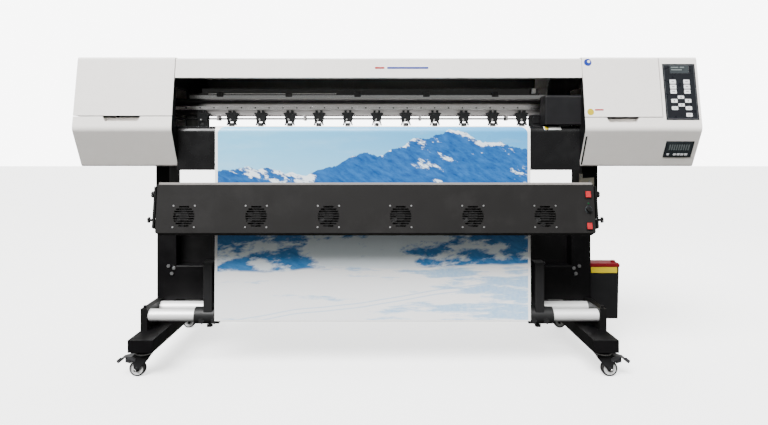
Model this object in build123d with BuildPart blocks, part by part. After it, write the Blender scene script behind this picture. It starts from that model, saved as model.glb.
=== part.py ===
"""Wide-format roll-fed inkjet printer on a wheeled stand, as separate pieces.

Millimetres. The origin is on the floor under the middle of the machine's bounding box.
+X runs to the operator's right, -Y points to the operator and +Z is up.
"""

import os
from math import atan2, cos, degrees, hypot, radians, sin

from build123d import *

os.makedirs("parts", exist_ok=True)

# ---------------------------------------------------------------- driving dimensions
# Overall
machine_width = 2540.0
left_cover_width = 400.0
right_cover_width = 470.0
control_width = 154.0
cover_wall = 3.0
fit_gap = 0.5

# Side profile of the end covers, as (Y, Z) corners
cover_bottom = (-210.0, 839.0)
cover_crease = (-290.0, 990.0)
cover_top = (-240.0, 1288.0)
cover_back_y = 250.0
top_back_chamfer = 70.0
crease_radius = 35.0
lid_hinge_y = 120.0
lid_gap = 3.0
left_lid_z = 1045.0
right_lid_z = 1040.0

# Stand
stand_centre_x = -55.5
stand_half_width = 966.5
leg_width = 85.0
leg_front_y = -35.0
leg_depth = 120.0
# How far each head's two faces are from the stand's left or right end
leg_head_left = (3.0, 61.0)
leg_head_right = (-45.0, 24.0)
leg_head_y = (-55.0, 85.0)
leg_head_z = 690.0
tube_wall = 3.0
foot_width = 98.0
foot_front_y = -344.0
foot_back_y = 392.6
foot_bottom_z = 108.0
foot_top_z = 157.0
crossbeam_z = (240.0, 391.0)
crossbeam_y = (-40.0, 70.0)
rear_panel_y = 25.0
rear_panel_top_z = 620.0

# Casters
wheel_radius = 32.0
wheel_width = 24.0
caster_trail = 25.0
caster_y = (-294.0, 345.0)
caster_inset = 46.0
kingpin_radius = 6.0
axle_radius = 4.0
running_clearance = 0.05
ring_radius = 33.0
brake_pivot = (33.0, 68.0)

# Take-up rollers and media guides
roller_radius = 25.5
roller_z = 214.0
front_roller_y = -190.0
rear_roller_y = -64.0
roller_journal_radius = 8.0
side_plate_thickness = 28.0
side_plate_top_z = 247.0
side_plate_front_y = -219.0
guide_clearance = 0.4
guide_width = 38.0
guide_clamp_width = 80.0
guide_clamp_extra = 18.0
guide_top_z = 440.0
guide_front_y = -220.0
left_guide_x = -743.0
right_guide_x = 634.0

# Print zone
base_top_z = 899.0
base_y = (-190.0, 150.0)
platen_z = 1005.0
platen_front_y = -195.0
platen_back_y = 120.0
platen_wall = 3.0
apron_radius = 25.0
apron_bottom_z = 823.0
beam_z = (1057.0, 1130.0)
beam_y = (-90.0, -10.0)
rail_section = 15.0
rail_centre_z = 1089.0
rail_hole_pitch = 60.0
side_wall_thickness = 4.0
pinch_count = 12
pinch_pitch = 125.0
pinch_first_x = -792.0
pinch_wheel_radius = 8.5
pinch_wheel_width = 14.0
pinch_shaft_radius = 4.0
pinch_shaft_y = -110.0
pinch_shaft_z = 1041.0
feed_y = -123.0
feed_radius = 12.0
feed_shaft_radius = 7.0
media_thickness = 0.8
media_gap = 0.2
media_width = 1306.0
media_centre_x = -59.0
media_bottom_z = 200.0
carriage_x = (653.0, 913.0)
carriage_y = (-230.0, -146.0)
carriage_z = (1012.0, 1133.0)
head_bottom_z = 1008.0
belt_radius = 10.0
belt_gap = 0.3
belt_thickness = 1.5
belt_width = 12.0
belt_y = -94.5
belt_z = 1116.5
drive_pulley_x = 1040.0
idler_pulley_x = -1140.0
strip_clip_pitch = 300.0
strip_clip_first_x = -726.0

# Fan dryer
dryer_centre_x = -47.0
dryer_length = 1701.0
dryer_height = 196.0
dryer_depth = 65.0
dryer_wall = 2.0
dryer_top_front = (-362.0, 771.0)
dryer_bottom_front = (-390.0, 577.0)
dryer_pivot = (-340.0, 731.0)
dryer_knob_spacing = 100.0
fan_count = 6
fan_pitch = 280.0
fan_first_x = -789.0
fan_size = 92.0
fan_hole_pitch = 82.5
fan_depth = 25.0
fan_height = 72.7
grille_radius = 42.0
slot_count = 9
slot_pitch = 9.2
slot_width = 6.2
bracket_thickness = 8.0
bracket_gap = 9.0
switch_x = 780.0
knob_shank_radius = 4.0
knob_hole_radius = 4.5

# Waste ink box
waste_x = (924.0, 1059.0)
waste_y = (10.0, 95.0)
waste_z = (140.0, 388.0)
peg_radius = 5.0
peg_z = 350.0
peg_y = (38.0, 66.0)

# ---------------------------------------------------------------- derived places
machine_left = -machine_width / 2
machine_right = machine_width / 2
zone_left = machine_left + left_cover_width
zone_right = machine_right - right_cover_width
control_left = machine_right - control_width
leg_centres = (
    stand_centre_x - stand_half_width + leg_width / 2,
    stand_centre_x + stand_half_width - leg_width / 2,
)
leg_inner_left = leg_centres[0] + leg_width / 2
leg_inner_right = leg_centres[1] - leg_width / 2
foot_centres = (
    stand_centre_x - stand_half_width + foot_width / 2,
    stand_centre_x + stand_half_width - foot_width / 2,
)
stand_left = stand_centre_x - stand_half_width
stand_right = stand_centre_x + stand_half_width
caster_x = (stand_left + caster_inset, stand_right - caster_inset)
pinch_x = [pinch_first_x + index * pinch_pitch for index in range(pinch_count)]
fan_x = [fan_first_x + index * fan_pitch for index in range(fan_count)]
feed_z = platen_z - 0.1 - feed_radius
pinch_wheel_z = platen_z + media_gap + media_thickness + 0.3 + pinch_wheel_radius
base_bottom_z = cover_bottom[1]
base_x = (machine_left + 120, control_left - 5)

# Planes of the end covers' leaning front face and of the face below the crease
front_plane = Plane(
    origin=(0, cover_crease[0], cover_crease[1]),
    x_dir=(1, 0, 0),
    z_dir=(0, cover_crease[1] - cover_top[1], cover_top[0] - cover_crease[0]),
)
lower_plane = Plane(
    origin=(0, cover_crease[0], cover_crease[1]),
    x_dir=(1, 0, 0),
    z_dir=(0, cover_bottom[1] - cover_crease[1], cover_crease[0] - cover_bottom[0]),
)
front_slope = hypot(cover_top[0] - cover_crease[0], cover_top[1] - cover_crease[1]) / (
    cover_top[1] - cover_crease[1]
)
lower_slope = hypot(cover_bottom[0] - cover_crease[0], cover_bottom[1] - cover_crease[1]) / (
    cover_crease[1] - cover_bottom[1]
)

# Plane of the dryer's front face: local Y runs up the face, local Z out of it
dryer_lean = degrees(
    atan2(dryer_top_front[0] - dryer_bottom_front[0], dryer_top_front[1] - dryer_bottom_front[1])
)
dryer_plane = Plane(
    origin=(dryer_centre_x, dryer_bottom_front[0], dryer_bottom_front[1]),
    x_dir=(1, 0, 0),
    z_dir=(0, -cos(radians(dryer_lean)), sin(radians(dryer_lean))),
)
dryer_left = dryer_centre_x - dryer_length / 2
dryer_right = dryer_centre_x + dryer_length / 2
bracket_left_x = dryer_left - bracket_gap - bracket_thickness
bracket_right_x = dryer_right + bracket_gap
lower_knob = (
    dryer_pivot[0] - dryer_knob_spacing * sin(radians(dryer_lean)),
    dryer_pivot[1] - dryer_knob_spacing * cos(radians(dryer_lean)),
)


# ---------------------------------------------------------------- helpers
def behind_dryer_face(up, back):
    """(Y, Z) of a point this far up the dryer's front face and this far behind it."""
    lean = radians(dryer_lean)
    return (
        dryer_bottom_front[0] + up * sin(lean) + back * cos(lean),
        dryer_bottom_front[1] + up * cos(lean) - back * sin(lean),
    )


def block(x_range, y_range, z_range, mode=Mode.ADD):
    """Box between two X, two Y and two Z values, in the current part."""
    with BuildSketch(Plane.XY.offset(z_range[0])) as outline:
        with Locations(((x_range[0] + x_range[1]) / 2, (y_range[0] + y_range[1]) / 2)):
            Rectangle(x_range[1] - x_range[0], y_range[1] - y_range[0])
    extrude(outline.sketch, amount=z_range[1] - z_range[0], mode=mode)


def prism(x_range, points, mode=Mode.ADD):
    """Straight prism along X from a closed outline of (Y, Z) points."""
    with BuildSketch(Plane.YZ.offset(x_range[0])) as outline:
        with BuildLine():
            Polyline(*points, close=True)
        make_face()
    extrude(outline.sketch, amount=x_range[1] - x_range[0], mode=mode)


def rod(x_range, centre, radius, mode=Mode.ADD):
    """Cylinder along X about a (Y, Z) centre."""
    with BuildSketch(Plane.YZ.offset(x_range[0])) as outline:
        with Locations(centre):
            Circle(radius)
    extrude(outline.sketch, amount=x_range[1] - x_range[0], mode=mode)


def post(centre, radius, z_range, mode=Mode.ADD):
    """Cylinder along Z about an (X, Y) centre."""
    with BuildSketch(Plane.XY.offset(z_range[0])) as outline:
        with Locations(centre):
            Circle(radius)
    extrude(outline.sketch, amount=z_range[1] - z_range[0], mode=mode)


def cross_rod(y_range, centre, radius, mode=Mode.ADD):
    """Cylinder along Y about an (X, Z) centre."""
    with BuildSketch(Plane.XZ.offset(-y_range[1])) as outline:
        with Locations(centre):
            Circle(radius)
    extrude(outline.sketch, amount=y_range[1] - y_range[0], mode=mode)


def cross_prism(y_range, points, mode=Mode.ADD):
    """Straight prism along Y from a closed outline of (X, Z) points."""
    with BuildSketch(Plane.XZ.offset(-y_range[1])) as outline:
        with BuildLine():
            Polyline(*points, close=True)
        make_face()
    extrude(outline.sketch, amount=y_range[1] - y_range[0], mode=mode)


def cover_section(x, inset=0.0):
    """Side profile of the body as a face at one X, shrunk inwards by the inset."""
    with BuildSketch(Plane.YZ.offset(x)) as section:
        with BuildLine():
            Polyline(
                cover_bottom,
                cover_crease,
                cover_top,
                (cover_back_y - top_back_chamfer, cover_top[1]),
                (cover_back_y, cover_top[1] - top_back_chamfer),
                (cover_back_y, cover_bottom[1]),
                close=True,
            )
        make_face()
        crease = vertices().filter_by(lambda v: abs(v.center().Y - cover_crease[1]) < 0.01)
        fillet(crease, radius=crease_radius)
        ends = vertices().filter_by(
            lambda v: v.center().Y > cover_top[1] - 0.01 or v.center().Y < cover_bottom[1] + 0.01
        )
        fillet(ends, radius=12)
        if inset:
            offset(amount=-inset, mode=Mode.REPLACE)
    return section.sketch


def cover_ring(x_range, inset=0.0, thickness=cover_wall):
    """Wall of the body's profile, extruded along X."""
    length = x_range[1] - x_range[0]
    extrude(cover_section(x_range[0], inset), amount=length)
    extrude(cover_section(x_range[0], inset + thickness), amount=length, mode=Mode.SUBTRACT)


def cover_plate(x_range, inset=0.0):
    """Flat plate with the body's profile."""
    extrude(cover_section(x_range[0], inset), amount=x_range[1] - x_range[0])


def lid_outline(split_z, grow=0.0):
    """Outline, in (Y, Z), of everything that belongs to a lid."""
    return [
        (-400, split_z - grow),
        (lid_hinge_y + grow, split_z - grow),
        (lid_hinge_y + grow, 1400),
        (-400, 1400),
    ]


def finger_notch(centre_x, top_width, bottom_width, split_z):
    """Pocket under a lid's lower edge, with a pad behind it that closes it."""
    top = (split_z - lid_gap - cover_crease[1]) * front_slope
    height = 20.0
    depth = 25.0
    with BuildSketch(front_plane.offset(-depth - cover_wall)) as pad:
        with Locations((centre_x, top - height / 2 - 2)):
            Rectangle(top_width + 10, height + 4)
    extrude(pad.sketch, amount=depth + cover_wall - 1)
    with BuildSketch(front_plane.offset(1)) as opening:
        with BuildLine():
            Polyline(
                (centre_x - top_width / 2, top + 1),
                (centre_x + top_width / 2, top + 1),
                (centre_x + bottom_width / 2, top - height),
                (centre_x - bottom_width / 2, top - height),
                close=True,
            )
        make_face()
    extrude(opening.sketch, amount=-depth - 1, mode=Mode.SUBTRACT)


def base_clearance():
    """Room in a cover's floor for the base frame that passes through it."""
    block(
        (base_x[0] - fit_gap, base_x[1] + fit_gap),
        (base_y[0] - fit_gap, base_y[1] + fit_gap),
        (cover_bottom[1] - 1, cover_bottom[1] + cover_wall + 1),
        mode=Mode.SUBTRACT,
    )


# ---------------------------------------------------------------- stand
with BuildPart() as foot_beams:
    for centre_x in foot_centres:
        sides = (centre_x - foot_width / 2, centre_x + foot_width / 2)
        block(sides, (foot_front_y, foot_back_y), (foot_bottom_z, foot_top_z))
        block(
            (sides[0] + tube_wall, sides[1] - tube_wall),
            (foot_front_y + tube_wall, foot_back_y - tube_wall),
            (foot_bottom_z + tube_wall, foot_top_z - tube_wall),
            mode=Mode.SUBTRACT,
        )
    for x in caster_x:
        for y in caster_y:
            block((x - 38, x + 38), (y - 38, y + 38), (foot_bottom_z - 6, foot_bottom_z))
            post((x, y), 30, (foot_bottom_z - 11, foot_bottom_z - 6))
            post((x, y), 14, (foot_bottom_z, foot_bottom_z + 26))
            post(
                (x, y),
                kingpin_radius + running_clearance,
                (foot_bottom_z - 12, foot_bottom_z + 20),
                mode=Mode.SUBTRACT,
            )
foot_beams.part.label = "foot_beams"
export_step(foot_beams.part, "parts/foot_beams.step")

with BuildPart() as stand_legs:
    for centre_x, head_sides in (
        (leg_centres[0], (stand_left + leg_head_left[0], stand_left + leg_head_left[1])),
        (leg_centres[1], (stand_right + leg_head_right[0], stand_right + leg_head_right[1])),
    ):
        leg_sides = (centre_x - leg_width / 2, centre_x + leg_width / 2)
        for sides, y_range, z_range in (
            (leg_sides, (leg_front_y, leg_front_y + leg_depth), (foot_top_z, leg_head_z)),
            (head_sides, leg_head_y, (leg_head_z, base_bottom_z)),
        ):
            block(sides, y_range, z_range)
            block(
                (sides[0] + tube_wall, sides[1] - tube_wall),
                (y_range[0] + tube_wall, y_range[1] - tube_wall),
                (z_range[0] + tube_wall, z_range[1] - tube_wall),
                mode=Mode.SUBTRACT,
            )
stand_legs.part.label = "stand_legs"
export_step(stand_legs.part, "parts/stand_legs.step")

with BuildPart() as crossbeam:
    block((leg_inner_left, leg_inner_right), crossbeam_y, crossbeam_z)
    block(
        (leg_inner_left + tube_wall, leg_inner_right - tube_wall),
        (crossbeam_y[0] + tube_wall, crossbeam_y[1] - tube_wall),
        (crossbeam_z[0] + tube_wall, crossbeam_z[1] - tube_wall),
        mode=Mode.SUBTRACT,
    )
    long_edges = edges().filter_by(Axis.X).filter_by(lambda e: abs(e.center().Z - 315) > 74)
    fillet(long_edges, radius=4)
crossbeam.part.label = "crossbeam"
export_step(crossbeam.part, "parts/crossbeam.step")

with BuildPart() as rear_stand_panel:
    block(
        (leg_inner_left, leg_inner_right),
        (rear_panel_y, rear_panel_y + 2),
        (crossbeam_z[1], rear_panel_top_z),
    )
    block(
        (leg_inner_left, leg_inner_right),
        (rear_panel_y, rear_panel_y + 30),
        (rear_panel_top_z - 2, rear_panel_top_z),
    )
rear_stand_panel.part.label = "rear_stand_panel"
export_step(rear_stand_panel.part, "parts/rear_stand_panel.step")

# Hex bolts that hold the crossbeam and the pegs that carry the waste ink box
with BuildPart() as stand_bolts:
    for inner_x, side in ((leg_inner_left, -1), (leg_inner_right, 1)):
        for inset, z in ((4, 380), (13, 356), (28, 389)):
            with BuildSketch(Plane.XZ.offset(-leg_front_y)):
                with Locations((inner_x + side * (inset + 6), z)):
                    RegularPolygon(radius=8, side_count=6)
            extrude(amount=5)
    for y in peg_y:
        rod((stand_right, stand_right + 8), (y, peg_z), peg_radius)
        rod((stand_right + 8, stand_right + 11), (y, peg_z), peg_radius + 3)
stand_bolts.part.label = "stand_bolts"
export_step(stand_bolts.part, "parts/stand_bolts.step")

# ---------------------------------------------------------------- casters
for side_name, x, outward in (("left", caster_x[0], -1), ("right", caster_x[1], 1)):
    for end_name, y in (("front", caster_y[0]), ("rear", caster_y[1])):
        axle_x = x + outward * caster_trail
        fork_inner = wheel_width / 2 + 1.5
        fork_outer = fork_inner + 3
        with BuildPart() as caster_fork:
            post((x, y), ring_radius, (foot_bottom_z - 19.5, foot_bottom_z - 11.3))
            post((x, y), kingpin_radius, (foot_bottom_z - 12, foot_bottom_z + 18))
            block((x - 26, x + 26), (y - fork_outer, y + fork_outer), (82, foot_bottom_z - 19.5))
            cheek = [
                (x - outward * 26, 84),
                (x + outward * 38, 84),
                (x + outward * 40, 62),
                (axle_x + outward * 10, wheel_radius - 2),
                (axle_x, wheel_radius - 10),
                (axle_x - outward * 10, wheel_radius - 2),
                (x - outward * 12, 62),
            ]
            cross_prism((y - fork_outer, y - fork_inner), cheek)
            cross_prism((y + fork_inner, y + fork_outer), cheek)
            cross_rod((y - fork_outer - 3, y + fork_outer + 3), (axle_x, wheel_radius), axle_radius)
            cross_rod((y - fork_outer - 2, y - fork_outer), (axle_x, wheel_radius), 6.5)
            cross_rod((y + fork_outer, y + fork_outer + 2), (axle_x, wheel_radius), 6.5)
            if end_name == "front":
                cross_rod(
                    (y - fork_outer - 1, y + fork_outer + 1),
                    (x + outward * brake_pivot[0], brake_pivot[1]),
                    3 + running_clearance,
                    mode=Mode.SUBTRACT,
                )
        name = f"caster_fork_{end_name}_{side_name}"
        caster_fork.part.label = name
        export_step(caster_fork.part, f"parts/{name}.step")

        with BuildPart() as caster_wheel:
            with BuildSketch(Plane.XZ.offset(-y - wheel_width / 2)):
                with Locations((axle_x, wheel_radius)):
                    Circle(wheel_radius)
            extrude(amount=wheel_width)
            fillet(edges().filter_by(GeomType.CIRCLE), radius=5)
            for face_y in (y - wheel_width / 2 + 3, y + wheel_width / 2):
                with BuildSketch(Plane.XZ.offset(-face_y)):
                    with Locations((axle_x, wheel_radius)):
                        Circle(24)
                        Circle(12, mode=Mode.SUBTRACT)
                extrude(amount=3, mode=Mode.SUBTRACT)
            cross_rod(
                (y - wheel_width / 2 - 1, y + wheel_width / 2 + 1),
                (axle_x, wheel_radius),
                axle_radius + running_clearance,
                mode=Mode.SUBTRACT,
            )
        name = f"caster_wheel_{end_name}_{side_name}"
        caster_wheel.part.label = name
        export_step(caster_wheel.part, f"parts/{name}.step")

    # Brake pedal of the front caster: footplate with a curled end, shoe, ears and pivot pin
    y = caster_y[0]
    ear_outer = fork_outer + 2.5
    ear_inner = fork_outer + 0.3
    footplate = [
        (x + outward * 42, 83),
        (x + outward * 60, 84),
        (x + outward * 86, 76),
        (x + outward * 92, 64),
        (x + outward * 97, 60),
        (x + outward * 102, 66),
        (x + outward * 104, 66),
        (x + outward * 99, 56),
        (x + outward * 95, 56),
        (x + outward * 88, 61),
        (x + outward * 82, 73),
        (x + outward * 60, 80),
        (x + outward * 42, 79),
    ]
    ear = [
        (x + outward * 27, 74),
        (x + outward * 42, 83),
        (x + outward * 62, 82),
        (x + outward * 62, 74),
        (x + outward * 36, 62),
        (x + outward * 29, 63),
    ]
    shoe = [
        (x + outward * 46, 80),
        (x + outward * 72, 78),
        (x + outward * 72, 57),
        (x + outward * 51.5, 51.5),
        (x + outward * 46, 66),
    ]
    with BuildPart() as brake_pedal:
        cross_prism((y - ear_outer, y + ear_outer), footplate)
        cross_prism((y - ear_outer, y - ear_inner), ear)
        cross_prism((y + ear_inner, y + ear_outer), ear)
        cross_rod((y - ear_outer, y + ear_outer), (x + outward * brake_pivot[0], brake_pivot[1]), 3)
        cross_prism((y - 10, y + 10), shoe)
    name = f"brake_pedal_{side_name}"
    brake_pedal.part.label = name
    export_step(brake_pedal.part, f"parts/{name}.step")

# ---------------------------------------------------------------- take-up rollers
with BuildPart() as roller_side_plates:
    for x in (stand_left, stand_right - side_plate_thickness):
        block(
            (x, x + side_plate_thickness),
            (side_plate_front_y, leg_front_y - 1),
            (foot_top_z, side_plate_top_z),
        )
        for y in (front_roller_y, rear_roller_y):
            rod(
                (x - 1, x + side_plate_thickness + 1),
                (y, roller_z),
                roller_journal_radius + running_clearance,
                mode=Mode.SUBTRACT,
            )
        post((x + side_plate_thickness / 2, side_plate_front_y + 12), 6, (side_plate_top_z, 259))
roller_side_plates.part.label = "roller_side_plates"
export_step(roller_side_plates.part, "parts/roller_side_plates.step")

for name, y in (("front_takeup_roller", front_roller_y), ("rear_takeup_roller", rear_roller_y)):
    ends = (stand_left + side_plate_thickness + fit_gap, stand_right - side_plate_thickness - fit_gap)
    with BuildPart() as takeup_roller:
        rod(ends, (y, roller_z), roller_radius)
        journal = side_plate_thickness - 1
        rod((ends[0] - journal, ends[1] + journal), (y, roller_z), roller_journal_radius)
    takeup_roller.part.label = name
    export_step(takeup_roller.part, f"parts/{name}.step")

for name, x, outward in (("left_media_guide", left_guide_x, -1), ("right_media_guide", right_guide_x, 1)):
    half = guide_width / 2
    clamp_x = (
        x - guide_clamp_width / 2 - (guide_clamp_extra if outward < 0 else 0),
        x + guide_clamp_width / 2 + (guide_clamp_extra if outward > 0 else 0),
    )
    front_centre = (front_roller_y, roller_z)
    rear_centre = (rear_roller_y, roller_z)
    with BuildPart() as media_guide:
        block((x - half, x + half), (guide_front_y, guide_front_y + 60), (233, guide_top_z))
        fillet(edges().filter_by(Axis.Z), radius=4)
        # Flared cap, and a hand knob under the clamp
        block((x - half - 3, x + half + 3), (guide_front_y - 2, guide_front_y + 62), (guide_top_z - 8, guide_top_z))
        rod(clamp_x, front_centre, 35)
        post((x, front_roller_y), 4, (174, roller_z - 30))
        post((x, front_roller_y), 8, (166, 175))
        for lobe in range(5):
            turn = radians(90 + 72 * lobe)
            post((x + 8 * cos(turn), front_roller_y + 8 * sin(turn)), 5, (166, 175))
        block((x - 15, x + 15), (front_roller_y, rear_roller_y), (roller_z + 28, roller_z + 44))
        rod((x - 15, x + 15), rear_centre, 31)
        block((x - 15, x + 15), (-100, -60), (roller_z + 20, roller_z + 44))
        block((x - 16, x + 16), (-44, -20), (roller_z, 270), mode=Mode.SUBTRACT)
        for star_x in (x - 26, x + 26):
            with BuildSketch(Plane.XZ.offset(-front_roller_y + 28)):
                with Locations((star_x, roller_z - 16)):
                    Circle(9)
                    with PolarLocations(9, 5):
                        Circle(4)
            extrude(amount=8)
        for centre in (front_centre, rear_centre):
            rod(
                (clamp_x[0] - 1, clamp_x[1] + 1),
                centre,
                roller_radius + guide_clearance,
                mode=Mode.SUBTRACT,
            )
    media_guide.part.label = name
    export_step(media_guide.part, f"parts/{name}.step")

# ---------------------------------------------------------------- waste ink box
with BuildPart() as waste_ink_box:
    with BuildSketch(Plane.XY.offset(waste_z[0])):
        with Locations(((waste_x[0] + waste_x[1]) / 2, (waste_y[0] + waste_y[1]) / 2)):
            RectangleRounded(waste_x[1] - waste_x[0] - 8, waste_y[1] - waste_y[0] - 8, 8)
    with BuildSketch(Plane.XY.offset(waste_z[1] - 12)):
        with Locations(((waste_x[0] + waste_x[1]) / 2, (waste_y[0] + waste_y[1]) / 2)):
            RectangleRounded(waste_x[1] - waste_x[0], waste_y[1] - waste_y[0], 8)
    loft()
    block(
        (waste_x[0] - 0.0, waste_x[1]),
        (waste_y[0], waste_y[1]),
        (waste_z[1] - 12, waste_z[1]),
    )
    # Hanger plate with two slots, open downwards, that drop over the pegs
    block((stand_right + 4, stand_right + 7), (28, 80), (330, waste_z[1] - 2))
    block((stand_right + 4, waste_x[0]), (28, 80), (waste_z[1] - 8, waste_z[1] - 2))
    for y in peg_y:
        rod((stand_right + 3, stand_right + 8), (y, peg_z), peg_radius + 0.3, mode=Mode.SUBTRACT)
        block(
            (stand_right + 3, stand_right + 8),
            (y - peg_radius - 0.3, y + peg_radius + 0.3),
            (320, peg_z),
            mode=Mode.SUBTRACT,
        )
waste_ink_box.part.label = "waste_ink_box"
export_step(waste_ink_box.part, "parts/waste_ink_box.step")

# ---------------------------------------------------------------- base and print zone
with BuildPart() as base_frame:
    block(base_x, base_y, (base_bottom_z, base_top_z))
    block(
        (base_x[0] + tube_wall, base_x[1] - tube_wall),
        (base_y[0] + tube_wall, base_y[1] - tube_wall),
        (base_bottom_z + tube_wall, base_top_z - tube_wall),
        mode=Mode.SUBTRACT,
    )
    for x in (zone_left - side_wall_thickness, zone_right):
        walls = (x, x + side_wall_thickness)
        cover_plate(walls, inset=cover_wall + fit_gap)
        prism(
            walls,
            [
                (-400, base_bottom_z - 5),
                (-400, base_bottom_z + 8),
                (base_y[0], base_bottom_z + 8),
                (base_y[0], base_bottom_z - 5),
            ],
            mode=Mode.SUBTRACT,
        )
        # Window for the carriage in front of the beam, and for the beam itself
        prism(
            walls,
            [
                (-236, 1006),
                (-93, 1006),
                (-93, beam_z[0]),
                (beam_y[1], beam_z[0]),
                (beam_y[1], beam_z[1]),
                (-84, beam_z[1]),
                (-84, 1164),
                (-236, 1164),
            ],
            mode=Mode.SUBTRACT,
        )
        rod(walls, (feed_y, feed_z), feed_shaft_radius + running_clearance, mode=Mode.SUBTRACT)
base_frame.part.label = "base_frame"
export_step(base_frame.part, "parts/base_frame.step")

plate_x = (zone_left + fit_gap, zone_right - fit_gap)
with BuildPart() as platen:
    bend = 60.0
    with BuildSketch(Plane.YZ.offset(plate_x[0])):
        with BuildLine():
            Line((platen_front_y + 0.5, platen_z - platen_wall), (platen_front_y + 0.5, platen_z))
            Line((platen_front_y + 0.5, platen_z), (platen_back_y, platen_z))
            RadiusArc(
                (platen_back_y, platen_z),
                (platen_back_y + bend, platen_z - bend),
                bend,
            )
            Line((platen_back_y + bend, platen_z - bend), (platen_back_y + bend, base_top_z + 1))
            Line(
                (platen_back_y + bend, base_top_z + 1),
                (platen_back_y + bend - platen_wall, base_top_z + 1),
            )
            Line(
                (platen_back_y + bend - platen_wall, base_top_z + 1),
                (platen_back_y + bend - platen_wall, platen_z - bend),
            )
            RadiusArc(
                (platen_back_y + bend - platen_wall, platen_z - bend),
                (platen_back_y, platen_z - platen_wall),
                -(bend - platen_wall),
            )
            Line((platen_back_y, platen_z - platen_wall), (platen_front_y + 0.5, platen_z - platen_wall))
        make_face()
    extrude(amount=plate_x[1] - plate_x[0])
    # Ribs that carry the platen on the base frame
    for x in (-780, -370, 40, 450, 700):
        block((x - 2, x + 2), (-60, platen_back_y), (base_top_z, platen_z - platen_wall))
    for x in pinch_x:
        block((x - 22, x + 22), (feed_y - 11, feed_y + 11), (platen_z - 5, platen_z + 1), mode=Mode.SUBTRACT)
platen.part.label = "platen"
export_step(platen.part, "parts/platen.step")

apron_top_z = platen_z - 0.1
apron_front_y = platen_front_y - apron_radius
with BuildPart() as front_apron:
    with BuildSketch(Plane.YZ.offset(plate_x[0])):
        with BuildLine():
            Line((platen_front_y, apron_top_z), (platen_front_y, apron_top_z - platen_wall))
            RadiusArc(
                (platen_front_y, apron_top_z - platen_wall),
                (apron_front_y + platen_wall, apron_top_z - apron_radius),
                -(apron_radius - platen_wall),
            )
            Line(
                (apron_front_y + platen_wall, apron_top_z - apron_radius),
                (apron_front_y + platen_wall, apron_bottom_z + platen_wall),
            )
            Line(
                (apron_front_y + platen_wall, apron_bottom_z + platen_wall),
                (base_y[0] - 0.5, apron_bottom_z + platen_wall),
            )
            Line((base_y[0] - 0.5, apron_bottom_z + platen_wall), (base_y[0] - 0.5, apron_bottom_z))
            Line((base_y[0] - 0.5, apron_bottom_z), (apron_front_y, apron_bottom_z))
            Line((apron_front_y, apron_bottom_z), (apron_front_y, apron_top_z - apron_radius))
            RadiusArc(
                (apron_front_y, apron_top_z - apron_radius),
                (platen_front_y, apron_top_z),
                apron_radius,
            )
        make_face()
    extrude(amount=plate_x[1] - plate_x[0])
front_apron.part.label = "front_apron"
export_step(front_apron.part, "parts/front_apron.step")

beam_x = (machine_left + 80, control_left - 20)
with BuildPart() as carriage_beam:
    block(beam_x, beam_y, beam_z)
    block(
        beam_x,
        (beam_y[0] + 14, beam_y[1] - 4),
        (beam_z[0] + 4, beam_z[1] - 4),
        mode=Mode.SUBTRACT,
    )
    # Groove along the front for the drive belt, with a lip above and below it
    block(beam_x, (beam_y[0], beam_y[0] + 12), (beam_z[0] + 48, beam_z[1] - 2), mode=Mode.SUBTRACT)
    # Hangers that carry the pinch-roller shaft
    for index in (0, 3, 7, 10):
        x = pinch_x[index] + pinch_pitch / 2
        block((x - 4, x + 4), (pinch_shaft_y - 8, beam_y[0] + 20), (pinch_shaft_z - 7, beam_z[0]))
        rod(
            (x - 5, x + 5),
            (pinch_shaft_y, pinch_shaft_z),
            pinch_shaft_radius + running_clearance,
            mode=Mode.SUBTRACT,
        )
carriage_beam.part.label = "carriage_beam"
export_step(carriage_beam.part, "parts/carriage_beam.step")

rail_x = (beam_x[0] + 60, beam_x[1] - 20)
rail_z = (rail_centre_z - rail_section / 2, rail_centre_z + rail_section / 2)
with BuildPart() as linear_rail:
    block(rail_x, (beam_y[0] - rail_section, beam_y[0]), rail_z)
    hole_count = int((rail_x[1] - rail_x[0] - 40) // rail_hole_pitch)
    with BuildSketch(Plane.XZ.offset(-beam_y[0] + rail_section)):
        for index in range(hole_count + 1):
            with Locations((rail_x[0] + 20 + index * rail_hole_pitch, rail_centre_z)):
                Circle(3.8)
    extrude(amount=-6, mode=Mode.SUBTRACT)
linear_rail.part.label = "linear_rail"
export_step(linear_rail.part, "parts/linear_rail.step")

with BuildPart() as encoder_strip:
    block((zone_left + 10, beam_x[1] - 10), (beam_y[0] - 2, beam_y[0] + 2), (beam_z[1], 1145))
    for index in range(5):
        x = strip_clip_first_x + index * strip_clip_pitch
        block((x - 14, x + 14), (beam_y[0] - 5, beam_y[0] - 2), (1138, 1158))
        block((x - 9, x + 9), (beam_y[0] - 7, beam_y[0] - 5), (1141, 1154))
encoder_strip.part.label = "encoder_strip"
export_step(encoder_strip.part, "parts/encoder_strip.step")

with BuildPart() as drive_belt:
    inner_r = belt_radius + belt_gap
    outer_r = inner_r + belt_thickness
    middle_x = (drive_pulley_x + idler_pulley_x) / 2
    span = drive_pulley_x - idler_pulley_x
    with BuildSketch(Plane.XY.offset(belt_z - belt_width / 2)):
        with Locations((middle_x, belt_y)):
            SlotCenterToCenter(span, 2 * outer_r)
            SlotCenterToCenter(span, 2 * inner_r, mode=Mode.SUBTRACT)
    extrude(amount=belt_width)
drive_belt.part.label = "drive_belt"
export_step(drive_belt.part, "parts/drive_belt.step")

for name, x in (("drive_pulley", drive_pulley_x), ("idler_pulley", idler_pulley_x)):
    with BuildPart() as pulley:
        post((x, belt_y), belt_radius, (belt_z - 9, belt_z + 9))
        post((x, belt_y), 3, (belt_z - 13, belt_z + 13))
    pulley.part.label = name
    export_step(pulley.part, f"parts/{name}.step")

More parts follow.
